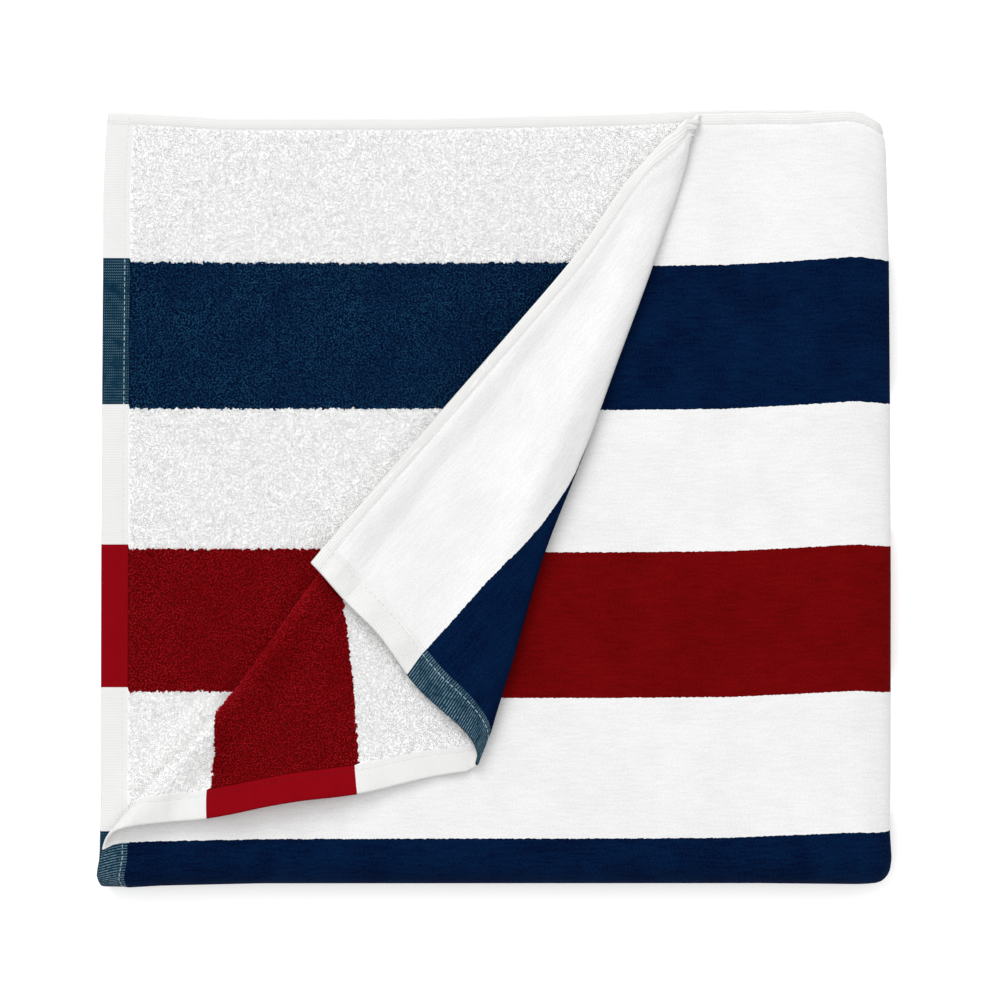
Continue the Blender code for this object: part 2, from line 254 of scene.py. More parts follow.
class Fold:
    """A diagonal fold of flat cloth, which turns the cloth on its far side over."""

    def __init__(self, row, side):
        angle = math.radians(row["direction"])
        self.row = row
        self.start = Vector(row["start"])
        self.along = Vector((math.cos(angle), math.sin(angle)))
        self.far = Vector((-self.along.y, self.along.x)) * side

    def radius(self, run):
        """Of the tube, that far along the fold."""
        return self.row["radius"] + self.row["radius_growth"] * max(run, 0.0)

    def taken(self, run):
        return self.row["taken"] + self.row["taken_growth"] * max(run, 0.0)

    def flare(self, run):
        """How much further the upper half of the tube reaches back than the lower half."""
        return self.row["flare"] + self.row["flare_growth"] * max(run, 0.0)

    def rise(self, run):
        return self.row["flatness"] * self.radius(run)

    def height(self, run):
        return 2 * self.rise(run) - LAYER_PITCH

    def out_at(self, run, turn_share):
        """The inverse of the turn: how far out on the flat cloth a share of the turn lies."""
        edge = self.row["edge"]
        if turn_share <= 0.5:
            return self.taken(run) * edge * 2 * turn_share
        return self.taken(run) * mix(edge, 1.0, 2 * turn_share - 1.0)

    def split(self, point):
        """A point as a distance along the fold and a distance out from it."""
        offset = point - self.start
        return offset.dot(self.along), offset.dot(self.far)

    def turned(self, point):
        """Where a point of the cloth comes to lie: place, height, share of the turn."""
        run, out = self.split(point)
        radius, taken = self.radius(run), self.taken(run)
        if out <= 0.0:
            return point, 0.0, 0.0
        if out < taken:
            edge = self.row["edge"]
            gone = out / taken
            share = gone / edge / 2 if gone < edge else 0.5 + (gone - edge) / (1.0 - edge) / 2
            turn = math.pi * share
            beyond_axis = radius * math.sin(turn)
            if share > 0.5:
                beyond_axis -= self.flare(run) * (1.0 - math.sin(turn))
            place = self.flat(run, beyond_axis)
            return place, self.rise(run) * (1.0 - math.cos(turn)), share
        back = out - taken
        out = -self.flare(run) - self.row["across"] * back
        place = self.flat(run + self.row["skew"] * back, out)
        return place, 2 * self.rise(run), 1.0

    def flat(self, run, out):
        return self.start + self.along * run + self.far * out

    def unturned(self, place):
        """The place on the flat cloth that comes to lie here."""
        run, out = self.split(place)
        back = (-out - self.flare(run)) / self.row["across"]
        run -= self.row["skew"] * back
        return self.flat(run, back + self.taken(run))

    def resting(self, place):
        """How high the cloth beyond the fold still is, on its way down to the layer below."""
        run, out = self.split(place)
        return self.height(run) * (1.0 - ease((-out - self.flare(run)) / self.rest_run(run)))

    def rest_run(self, run):
        return REST_START + REST_RUN * self.height(run)


FIRST = Fold(FIRST_FOLD, -1)
SECOND = Fold(SECOND_FOLD, 1)
print(f"the second fold is {SECOND.radius(0.3) * 2000:.1f} mm high 300 mm along it")

# %% [markdown]
# ## The hand of the person who folded it
# Real folds wander by a few millimetres. `SLIDES` pushes the cloth a little at a few places, and
# the four edge tables give the outline of the stack: a place along the edge, and how far the edge
# lies from a straight line there.

# %% Small slides and uneven edges
CORNER_STRETCH = -3.4 * MM  # how far the free corner's hem lies left of the straight hem
SLIDES = in_mm(
    (
        # x, y, slide in x, in y, reach, then the share that top layer, turned layer and tip take
        (-132.0, -89.0, 3.7, -3.0, 48.0, 1, 1, 1),
        (-132.0, -148.0, -5.5, -4.3, 36.0, 0, 1, 0),
        (-62.0, -136.0, -1.5, -5.0, 34.0, 0, 1, 0),
        (-13.0, -129.0, 3.5, 3.0, 24.0, 0, 1, 1),
        (24.0, -28.0, -2.9, 1.0, 44.0, 0, 1, 1),
        (77.0, 113.0, 2.1, 0.7, 40.0, 0, 1, 1),
        (-36.0, -90.0, -4.6, -5.2, 27.0, 0, 0, 1),
        (72.5, 159.0, -8.2, 0.5, 41.0, 0, -0.6, 1),
        (99.0, 186.0, -3.8, -0.9, 15.0, 0.5, 1, 1),
        (112.0, 190.0, 0.0, -1.8, 20.0, 1, 0.3, 0),
        (146.0, 190.0, 0.0, -1.8, 19.0, 1, 0, 0),
        (-9.0, -119.0, -2.6, -6.4, 26.0, 0, 1, 1),
        (-72.5, -53.1, -1.4, -1.1, 16.0, 0, 0, 1),
        (-6.0, -124.0, -4.2, -1.5, 9.0, 0, 0, 1),
    ),
    columns=5,
)
LEFT_EDGE = in_mm(
    (
        (-188.0, 0.6), (-184.5, -1.0), (-181.2, -1.9), (-172.0, 0.0), (-150.0, 0.6),
        (-25.0, 0.9), (46.3, 1.3), (115.7, 1.8), (148.2, 1.8), (170.5, 2.8),
        (188.0, 4.0),
    )
)
RIGHT_EDGE = in_mm(
    (
        (-188.0, 0.0), (-175.3, 0.7), (-160.8, -0.2), (-136.5, 0.2), (-40.0, 0.3),
        (47.8, -0.1), (114.7, -0.6), (176.3, -2.1), (183.6, -3.2), (188.0, -4.2),
    )
)
TOP_EDGE = in_mm(
    (
        (-190.0, -1.0), (-163.2, -2.0), (-133.6, -3.9), (-36.1, -3.9), (65.7, -1.7),
        (94.8, -0.2), (109.4, 0.2), (175.8, 0.2), (182.1, -1.2), (188.9, -4.4),
        (193.0, -6.5),
    )
)
BOTTOM_EDGE = in_mm(
    (
        (-191.3, -3.0), (-179.2, -3.2), (-162.0, -2.2), (-113.7, -1.1), (128.8, -1.0),
        (180.0, -1.5), (187.0, -0.9), (193.0, 0.5),
    )
)
SIDE_REACH = 110.0 * MM  # how far into the stack an edge's slide is felt
END_REACH = 90.0 * MM


def stretched(x, y):
    """x on the flat top layer, with its free corner pulled a little to the left."""
    reach_x = (FIRST_FOLD["start"][0] - x) / (FIRST_FOLD["start"][0] - LEFT_X)
    reach_y = (y - ROLL_Y) / FRONT_LENGTH
    return x + CORNER_STRETCH * max(reach_x, 0.0) * max(reach_y, 0.0)


def slid(x, y, shares):
    dx = dy = 0.0
    for at_x, at_y, slide_x, slide_y, reach, *takes in SLIDES:
        away = ((x - at_x) ** 2 + (y - at_y) ** 2) / reach**2
        weight = math.exp(-away) * sum(a * b for a, b in zip(shares, takes))
        dx += slide_x * weight
        dy += slide_y * weight
    return x + dx, y + dy


def uneven(x, y):
    """Slides a place so that the stack's four edges follow their tables."""
    left = 1.0 - ease((x - LEFT_X) / SIDE_REACH)
    right = 1.0 - ease((RIGHT_FOLD_X + OUTER_RADIUS - x) / SIDE_REACH)
    top = 1.0 - ease((TOP_Y - y) / END_REACH)
    bottom = 1.0 - ease((y - ROLL_Y + ROLL_RADIUS + OUTER_RADIUS) / END_REACH)
    dx = left * look_up(LEFT_EDGE, y) + right * look_up(RIGHT_EDGE, y)
    dy = top * look_up(TOP_EDGE, x) + bottom * look_up(BOTTOM_EDGE, x)
    return x + dx, y + dy


print(f"{len(SLIDES)} small slides, and an outline that wanders by up to {-TOP_EDGE[-1][1] / MM:.1f} mm")

# %% [markdown]
# ## Soft swells
# Pressed flat, cloth still rises and sinks a little, most where a fold below lifts it. Each row
# of `SWELLS` is one long low hill or hollow: its middle, its two half lengths, its height, the way
# it runs in degrees, and the layers that take it. `PUCKERS` are the small waves that sewing pulls
# into the loose hem, and `PRESS` thins the stack along its right fold, where a hand pressed it.

# %% Hills and hollows of the loose layers
SWELLS = in_mm(
    (
        # x, y, half length, half width, height, direction, then top, turned, tip, below
        (-12.0, 72.0, 110.0, 14.0, 2.0, 50.0, 0, 0, 1, 0),
        (-62.0, -60.0, 38.0, 14.0, 7.5, -49.0, 0, 0, 1, 0),
        (-15.0, -118.0, 26.0, 14.0, -2.4, -62.0, 0, 0, 1, 0),
        (29.3, 28.4, 80.0, 10.0, 4.0, 66.0, 0, 0, 1, 0),
        (2.7, 28.4, 18.0, 12.0, -1.3, 10.0, 0, 0, 1, 0),
        (-32.3, 9.0, 18.0, 5.0, -0.9, 106.0, 0, 0, 1, 0),
        (-16.2, 16.2, 17.0, 6.0, 0.9, 100.0, 0, 0, 1, 0),
        (-150.0, -120.0, 40.0, 12.0, 1.6, 52.0, 0, 1, 0, 0),
        (-97.0, -148.0, 48.0, 14.0, 5.6, 9.0, 0, 1, 0, 0),
        (-130.0, -153.0, 55.0, 16.0, 5.5, 8.0, 0, 1, 0, 0),
        (-107.0, -71.0, 36.0, 7.0, 2.4, 50.0, 0, 1, 0, 0),
        (-152.0, -114.0, 26.0, 6.5, 1.6, 46.0, 0, 0, 0, 1),
    ),
    columns=5,
)
PUCKERS = in_mm(((21.0, 0.45, 1.0), (9.3, 0.25, 2.0)))  # wave length, height, start
PUCKER_REACH = 13.0 * MM
PRESS, PRESS_RUN = 0.16, 9.0 * MM  # share of the height, and reach


def swell(x, y, shares):
    total = 0.0
    for at_x, at_y, half_length, half_width, height, direction, *takes in SWELLS:
        angle = math.radians(direction)
        dx, dy = x - at_x, y - at_y
        along = (dx * math.cos(angle) + dy * math.sin(angle)) / half_length
        across = (-dx * math.sin(angle) + dy * math.cos(angle)) / half_width
        share = sum(a * b for a, b in zip(shares, takes))
        total += height * share * math.exp(-along * along - across * across)
    return total


def puckered(point):
    """The small waves that the sewing pulls into the end of the loose corner."""
    from_end = point.x - stretched(LEFT_X, point.y)
    waves = sum(
        height * math.sin(2 * math.pi * point.y / length + start) for length, height, start in PUCKERS
    )
    return waves * math.exp(-((from_end / PUCKER_REACH) ** 2))


def pressed(x, z):
    """A height in the stack once a hand has pressed the fold on the right, which thins it there."""
    lowest = BODY_THICKNESS / 2
    from_fold = RIGHT_FOLD_X + OUTER_RADIUS - x
    return lowest + (z - lowest) * (1.0 - PRESS * math.exp(-((from_fold / PRESS_RUN) ** 2)))


print(f"{len(SWELLS)} swells, the highest {max(row[4] for row in SWELLS) / MM:.1f} mm")

# %% From the flat cloth to the folded towel


def corner(point):
    """Where a point of the flat top layer lies once its corner is turned over twice."""
    place, height, first = FIRST.turned(point)
    second = 0.0
    if first >= 1.0:
        under = place
        place, extra, second = SECOND.turned(under)
        run, out = SECOND.split(place)
        resting = FIRST.resting(SECOND.flat(run, min(out, 0.0)))
        height = LAYER_PITCH + resting + extra
        if second >= 1.0:
            height = 2 * LAYER_PITCH + resting + SECOND.resting(place)
    shares = (1.0 - first, first * (1.0 - second), first * second)
    x, y = slid(place.x, place.y, shares)
    lift = swell(x, y, (*shares, 0.0)) + puckered(point) * (shares[1] + shares[2])
    return x, y, TOP_Z + height + lift


def folded(a, b, on_top):
    """The middle of the cloth in the folded towel: a and b are XY on the top layer, else u, v."""
    x, y, z = corner(Vector((a, b))) if on_top else rolled(a, b)
    if not on_top and a > BACK_START and b < FRONT_LENGTH:
        z += swell(x, y, (0.0, 0.0, 0.0, 1.0))
    z = pressed(x, z)
    x, y = uneven(x, y)
    return Vector((x - OUTLINE_MIDDLE[0], y - OUTLINE_MIDDLE[1], z))


def middle(u, v):
    """The same for any place u, v of the flat cloth."""
    if u <= TOP_END and v <= FRONT_LENGTH:
        return folded(stretched(LEFT_X + u, TOP_Y - v), TOP_Y - v, True)
    return folded(u, v, False)


print("the loose corner comes to lie at", middle(0.0, 0.0))

# %% [markdown]
# ## The grid of the flat cloth
# The grid is fine where the cloth shows and coarse between the layers, with extra lines beside
# the hems, where the thickness changes. Along the two diagonal folds the flat grid is cut, so
# that each tube is round whatever the grid's direction.

# %% Lines along and across the cloth
END_LINES = [d * MM for d in (0, 0.7, 2.5, 5.5, 8.6, 9.7, 10.2, 10.7, 11.6, 12.6, 13.2, 15.0)]
SIDE_LINES = [d * MM for d in (0, 0.6, 2.2, 3.8, 4.6, 5.1, 5.6, 6.2, 7.2, 9.0)]
FINE, COARSE = 4.2 * MM, 12.0 * MM
OUTER_STEPS, INNER_STEPS, ROLL_STEPS, CURL_STEPS, REST_STEPS = 10, 8, 14, 14, 4
NEAREST = 0.4 * MM  # points closer than this are merged
SMALLEST_EDGE = 0.01 * MM
LINE_RUN = 600.0 * MM  # from the start of a fold to past the end hem
PROBE = Vector((150.0 * MM, 0.0, TOP_Z))  # on the straight top layer, whose velour faces up


def spread(start, end, spacing):
    """Places after start, up to and with end, about that far apart."""
    count = max(1, round((end - start) / spacing))
    return [mix(start, end, i / count) for i in range(1, count + 1)]


def along_length():
    steps = {"outer fold": OUTER_STEPS, "left fold": INNER_STEPS, "inner fold": INNER_STEPS}
    places = list(END_LINES) + spread(END_LINES[-1], TOP_END, FINE)
    for kind, start, end in STRETCHES[1:-1]:
        places += spread(start, end, (end - start) / steps[kind] if kind in steps else COARSE)
    places += spread(BACK_START, CLOTH_LENGTH - END_LINES[-1], FINE)
    return places + [CLOTH_LENGTH - d for d in reversed(END_LINES[:-1])]


def across_width():
    front = list(SIDE_LINES) + spread(SIDE_LINES[-1], FRONT_LENGTH, FINE)
    roll = spread(FRONT_LENGTH, FRONT_LENGTH + ROLL_LENGTH, ROLL_LENGTH / ROLL_STEPS)
    back = spread(FRONT_LENGTH + ROLL_LENGTH, CLOTH_WIDTH - SIDE_LINES[-1], COARSE)
    return front + roll + back + [CLOTH_WIDTH - d for d in reversed(SIDE_LINES[:-1])]


COLUMNS, ROWS = along_length(), across_width()
print(f"{len(COLUMNS)} lines along the cloth and {len(ROWS)} across it")

# %% The flat grid, cut along the diagonal folds


def flat_cloth():
    """The flat grid. Each face says whether it is on the top layer, each point keeps its u, v."""
    mesh = bmesh.new()
    on_top = mesh.faces.layers.int.new("on_top")
    place = mesh.verts.layers.float_vector.new("place")
    grid = [[mesh.verts.new((u, v, 0.0)) for v in ROWS] for u in COLUMNS]
    for i in range(len(COLUMNS) - 1):
        for j in range(len(ROWS) - 1):
            face = mesh.faces.new((grid[i][j], grid[i + 1][j], grid[i + 1][j + 1], grid[i][j + 1]))
            top = COLUMNS[i + 1] <= TOP_END + SMALLEST_EDGE
            face[on_top] = top and ROWS[j + 1] <= FRONT_LENGTH + SMALLEST_EDGE
    for vertex in mesh.verts:
        vertex[place] = vertex.co
    return mesh, on_top, place


def in_order(things):
    """Each thing once, in the order in which it came, so that every run gives the same mesh."""
    return list(dict.fromkeys(things))


def top_vertices_of(mesh, on_top):
    return in_order(vertex for face in mesh.faces if face[on_top] for vertex in face.verts)


def curl_lines(fold, source):
    """Lines on the flat cloth at even steps of a fold's turn. source undoes the folds before it."""
    shares = [i / CURL_STEPS for i in range(CURL_STEPS + 1)]
    return [
        [source(fold.flat(run, fold.out_at(run, share))) for run in (0.0, LINE_RUN)]
        for share in shares
    ]


def rest_lines(fold, source):
    """Lines where the cloth comes down from a fold."""
    lines = []
    for i in range(REST_STEPS + 1):
        share = i / REST_STEPS
        outs = [(run, -fold.flare(run) - share * fold.rest_run(run)) for run in (0.0, LINE_RUN)]
        lines.append([source(fold.flat(run, out)) for run, out in outs])
    return lines


def twice_unturned(place):
    return FIRST.unturned(SECOND.unturned(place))


def beyond(line, face):
    """Whether a face lies on the loose corner's side of a line."""
    start, end = line
    out = (end - start).orthogonal()
    side = (face.calc_center_median().to_2d() - start).dot(out)
    return side * (Vector((LEFT_X, TOP_Y)) - start).dot(out) > 0.0


def cut(mesh, on_top, limits, line):
    """Cuts the top layer along a line, but only beyond the lines in limits."""
    region = [
        face
        for face in mesh.faces
        if face[on_top] and all(beyond(limit, face) for limit in limits)
    ]
    edges = in_order(edge for face in region for edge in face.edges)
    vertices = in_order(vertex for face in region for vertex in face.verts)
    start, end = line
    bmesh.ops.bisect_plane(
        mesh,
        geom=region + edges + vertices,
        dist=SMALLEST_EDGE,
        plane_co=start.to_3d(),
        plane_no=(end - start).orthogonal().to_3d(),
    )


def cut_fold_lines(mesh, on_top):
    turned = []
    for line in curl_lines(FIRST, Vector.copy):
        cut(mesh, on_top, turned, line)
        turned = [line]
    for line in rest_lines(FIRST, FIRST.unturned)[1:]:
        cut(mesh, on_top, turned, line)
    tip = turned
    for line in curl_lines(SECOND, FIRST.unturned):
        cut(mesh, on_top, tip, line)
        tip = turned + [line]
    for line in rest_lines(SECOND, twice_unturned)[1:] + rest_lines(FIRST, twice_unturned):
        cut(mesh, on_top, tip, line)


# %% [markdown]
# ## The middle surface, folded
# Every grid point is moved to its place in the folded towel. What comes out is a surface without
# thickness that runs through the middle of the cloth.

# %% Fold the grid


def normals_at(points, triangles):
    """Each point's normal, in which the thin slivers that the cuts leave hardly count."""
    a, b, c = (points[triangles[:, i]] for i in range(3))
    total = np.zeros_like(points)
    for i in range(3):
        np.add.at(total, triangles[:, i], np.cross(b - a, c - a))
    return total / np.linalg.norm(total, axis=1)[:, None]


def fold_cloth():
    """The folded middle surface: points, their u and v, velour normals, triangles, rim edges."""
    cloth, on_top, place = flat_cloth()
    for vertex in top_vertices_of(cloth, on_top):
        x, y = LEFT_X + vertex.co.x, TOP_Y - vertex.co.y
        vertex.co = (stretched(x, y), y, 0.0)
    cut_fold_lines(cloth, on_top)
    bmesh.ops.remove_doubles(cloth, verts=top_vertices_of(cloth, on_top), dist=NEAREST)
    top_vertices = set(top_vertices_of(cloth, on_top))
    for vertex in cloth.verts:
        vertex.co = folded(vertex.co.x, vertex.co.y, vertex in top_vertices)
    bmesh.ops.triangulate(cloth, faces=cloth.faces[:])
    bmesh.ops.recalc_face_normals(cloth, faces=cloth.faces[:])
    nearest = min(cloth.faces, key=lambda face: (face.calc_center_median() - PROBE).length)
    if nearest.normal.z < 0.0:
        bmesh.ops.reverse_faces(cloth, faces=cloth.faces[:])
    cloth.verts.index_update()
    rim_loops = [edge.link_loops[0] for edge in cloth.edges if edge.is_boundary]
    rim = np.array([[loop.vert.index, loop.link_loop_next.vert.index] for loop in rim_loops])
    points = np.array([v.co for v in cloth.verts])
    places = np.array([v[place] for v in cloth.verts])[:, :2]
    triangles = np.array([[v.index for v in f.verts] for f in cloth.faces])
    cloth.free()
    return points, places, normals_at(points, triangles), triangles, rim


POINTS, PLACES, NORMALS, TRIANGLES, RIM_EDGES = fold_cloth()
print(f"middle surface: {len(POINTS)} points, {len(TRIANGLES)} triangles")

# %% [markdown]
# ## Thickness
# The pile stands proud of the hems, and a row of sewing pulls the cloth together. So the two
# sides of the cloth lie at distances from the middle that depend on how far a point is from the
# end hem and from the side hem.

# %% Distances of the two sides from the middle
END_PROFILE = {  # distance from the cloth's end, and of the side from the middle, in mm
    "velour": (
        (0, 0.62), (0.7, 0.80), (9.4, 0.86), (10.2, 0.62), (11.0, 0.82), (11.7, 1.02), (13.0, 1.25),
    ),
    "terry": (
        (0, 0.62), (0.7, 0.82), (9.4, 0.90), (10.2, 0.62), (11.0, 0.86), (11.7, 0.80), (13.0, 0.75),
    ),
}
SIDE_PROFILE = {  # the same from the selvedge
    "velour": ((0, 0.75), (0.6, 1.05), (3.8, 1.20), (5.1, 0.72), (6.2, 1.02), (7.2, 1.25)),
    "terry": ((0, 0.75), (0.6, 1.05), (3.8, 1.20), (5.1, 0.66), (6.2, 0.72), (7.2, 0.75)),
}
RIM_BULGE = 0.45 * MM


def from_edges(u, v):
    """How far a place is from the nearer end of the cloth, and from the nearer selvedge."""
    return np.minimum(u, CLOTH_LENGTH - u), np.minimum(v, CLOTH_WIDTH - v)


def out_from_middle(u, v, side):
    """How far one side of the cloth lies from its middle at u, v."""
    end, edge = from_edges(u, v)
    a = np.interp(end / MM, *zip(*END_PROFILE[side]))
    b = np.interp(edge / MM, *zip(*SIDE_PROFILE[side]))
    plain = END_PROFILE[side][-1][1]
    lowest = np.minimum(a, b)
    return np.where((a > plain) | (b > plain), np.maximum(a, b), lowest) * MM


print("velour and terry lie from the middle by", [END_PROFILE[side][-1][1] for side in END_PROFILE], "mm")

# %% [markdown]
# ## Two sides and a rounded rim
# Solidify would give one even thickness, so here the two sides are laid out directly: the middle
# surface pushed out along its normals, once each way, and joined around the cloth's edge by a
# strip whose middle bulges out, as a turned hem does. Each point keeps `cloth`: its u, its v and
# the side it is on.

# %% Build the sheet


def rim_outwards():
    """For each point of the cloth's edge, the direction that leads out of the cloth."""
    out = np.zeros_like(POINTS)
    for a, b in RIM_EDGES:
        step = POINTS[b] - POINTS[a]
        direction = np.cross(step, (NORMALS[a] + NORMALS[b]) / 2)
        out[a] += direction
        out[b] += direction
    length = np.linalg.norm(out, axis=1)
    return out / np.where(length > 0, length, 1)[:, None]


def two_sided():
    """Points of both sides and the rim, their u, v and side, and triangles."""
    u, v = PLACES.T
    count = len(POINTS)
    face_side = POINTS + NORMALS * out_from_middle(u, v, "velour")[:, None]
    back_side = POINTS - NORMALS * out_from_middle(u, v, "terry")[:, None]
    rim = np.unique(RIM_EDGES)
    place_in_rim = {int(p): 2 * count + i for i, p in enumerate(rim)}
    rim_side = POINTS[rim] + rim_outwards()[rim] * RIM_BULGE
    points = np.vstack([face_side, back_side, rim_side])
    side = np.concatenate([np.ones(count), -np.ones(count), np.zeros(len(rim))])
    place = np.vstack([PLACES, PLACES, PLACES[rim]])
    strip = []
    for a, b in RIM_EDGES:
        m, n, c, d = place_in_rim[int(a)], place_in_rim[int(b)], a + count, b + count
        strip += [(b, a, m), (b, m, n), (c, d, n), (c, n, m)]
    faces = np.vstack([TRIANGLES, TRIANGLES[:, ::-1] + count, np.array(strip)])
    return points, np.column_stack([place, side]), faces


def keep(mesh, name, kind, domain, values):
    """Stores a value for each point or face, where nodes and materials can read it."""
    layer = mesh.attributes.new(name, kind, domain)
    if kind == "INT":
        layer.data.foreach_set("value", values)
    else:
        layer.data.foreach_set("vector", np.asarray(values, np.float32).ravel())


def plain_mesh(name, points, faces, cloth=None):
    """A mesh with smooth faces, and with each point's own place on the cloth."""
    mesh = bpy.data.meshes.new(name)
    mesh.from_pydata(np.asarray(points).tolist(), [], np.asarray(faces).tolist())
    if cloth is not None:
        keep(mesh, "cloth", "FLOAT_VECTOR", "POINT", cloth)
    mesh.polygons.foreach_set("use_smooth", [True] * len(mesh.polygons))
    mesh.update()
    return mesh


def shown(name, mesh):
    """An object for a mesh, at the origin."""
    thing = bpy.data.objects.new(name, mesh)
    bpy.context.scene.collection.objects.link(thing)
    return thing


SHEET_POINTS, SHEET_PLACES, SHEET_FACES = two_sided()
print(f"two sides and a rim: {len(SHEET_POINTS)} points")

# %% [markdown]
# ## Where the dye falls
# Eleven stripes of equal width run along the cloth. Pulled and folded cloth doesn't keep them
# quite straight, so each point's v is first corrected to the stripe that it shows.

# %% Stripes as they lie in the folded towel
# where each stripe ends, in mm of v: dyed evenly, and as it shows on each layer
EVEN_STRIPES = (0.0, 69.25, 138.5, 207.8, 277.0, 346.3, 761.8)
FRONT_STRIPES = (0.0, 73.3, 143.9, 213.7, 282.2, 350.3, 761.8)
TURNED_STRIPES = (0.0, 72.0, 142.3, 210.1, 281.4, 352.8, 761.8)
BACK_STRIPES = (0.0, 71.2, 143.3, 212.2, 279.4, 347.7, 761.8)
TIP_BEND = in_mm(  # along the end hem of the tip, by u
    (
        (0.0, -0.6), (10.0, -1.6), (27.0, -0.1), (47.0, 1.2), (65.0, 2.4), (80.0, 3.9),
        (94.0, 4.6), (106.0, 3.9), (118.0, 3.6), (126.0, 2.4), (133.0, -0.5), (145.0, -3.0),
    )
)
HEM_SHIFT = 2.2 * MM  # of the hem's stripes against the pile's
TURN_REACH = 20.0 * MM  # over which the turned corner's stripes take over from the straight ones
BACK_FROM = BACK_START - 0.2  # from here on the stripes lie as on the back
LIFT_UNTIL_U, LIFT_UNTIL_V = TOP_END + 0.02, FRONT_LENGTH + ROLL_LENGTH / 2
LIFT_AT_BOTTOM = 0.7  # share of the lift that is left at the bottom edge
BEND_V, EDGE_RUN = 0.1, 0.06  # where the tip's bend starts to fade, and over how much cloth
STRIPE_LIFT = in_mm(  # of the straight stripes of the top layer, by x
    (
        (-192.0, 4.6), (-186.5, 2.2), (-181.0, 0.4), (-176.0, 0.0), (60.0, 0.0),
        (114.0, -0.6), (147.0, -2.6), (176.0, -4.7), (192.0, -3.4),
    )
)


def turned_share(u, v):
    """0 on the straight part of the top layer, and 1 well inside its turned corner."""
    if u > TOP_END or v > FRONT_LENGTH:
        return 0.0
    x, y = LEFT_X + u, TOP_Y - v
    return ease(FIRST.split(Vector((stretched(x, y), y)))[1] / TURN_REACH)


def stripe_place(u, v, x):
    """v corrected for how the stripes lie, in metres."""
    if u > BACK_FROM:
        hem = HEM_SHIFT if u > CLOTH_LENGTH - END_HEM else 0.0
        return float(np.interp((v + hem) / MM, BACK_STRIPES, EVEN_STRIPES)) * MM
    turned = turned_share(u, v)
    lift = 0.0
    if u <= LIFT_UNTIL_U and v <= LIFT_UNTIL_V:
        lift = look_up(STRIPE_LIFT, x) * mix(1.0, LIFT_AT_BOTTOM, ease(v / FRONT_LENGTH))
        lift *= ease(v / EDGE_RUN)
        lift *= 1.0 - turned
    straight = np.interp((v - lift) / MM, FRONT_STRIPES, EVEN_STRIPES)
    below_tip = ease((v - BEND_V) / EDGE_RUN)
    bend = look_up(TIP_BEND, u) * (1.0 - below_tip)
    hem = HEM_SHIFT * below_tip if u < END_HEM else 0.0
    over = np.interp((v - bend - hem) / MM, TURNED_STRIPES, EVEN_STRIPES)
    return float(mix(straight, over, turned)) * MM


def stripes_for(points, places):
    out = places.copy()
    out[:, 1] = [stripe_place(u, v, p[0]) for (u, v, _), p in zip(places, points)]
    return out


SHEET_CLOTH = stripes_for(SHEET_POINTS, SHEET_PLACES)
towel = shown("towel_sheet", plain_mesh("towel_sheet", SHEET_POINTS, SHEET_FACES, SHEET_CLOTH))
towel.data.normals_split_custom_set_from_vertices(normals_at(SHEET_POINTS, SHEET_FACES).tolist())
print(f"{towel.name}: {len(SHEET_FACES)} faces")

# %% [markdown]
# ## Shader maths in plain Python
# A material is a graph of small nodes. Wrapping a socket in a class lets an ordinary expression
# such as `1 - mask * 0.5` build that graph, which is easier to read and to change than a screen
# full of wires.

# %% Sockets that can be added and multiplied


class Wire:
    """One output of a shader node. An expression on it adds Math nodes."""

    def __init__(self, finish, socket):
        self.finish, self.socket = finish, socket

    def maths(self, operation, *others):
        return self.finish.node("ShaderNodeMath", {"operation": operation}, (self, *others))

    def __add__(self, other):
        return self.maths("ADD", other)

    def __sub__(self, other):
        return self.maths("SUBTRACT", other)

    def __rsub__(self, other):
        return self.finish.node("ShaderNodeMath", {"operation": "SUBTRACT"}, (other, self))

    def __mul__(self, other):
        return self.maths("MULTIPLY", other)

    def __truediv__(self, other):
        return self.maths("DIVIDE", other)

    __radd__, __rmul__ = __add__, __mul__

    def between(self, low, high):
        """0 below low, 1 above high, and smooth between them."""
        settings = {"interpolation_type": "SMOOTHSTEP"}
        return self.finish.node("ShaderNodeMapRange", settings, (self, low, high, 0.0, 1.0))

    def output(self, name):
        return Wire(self.finish, self.socket.node.outputs[name])


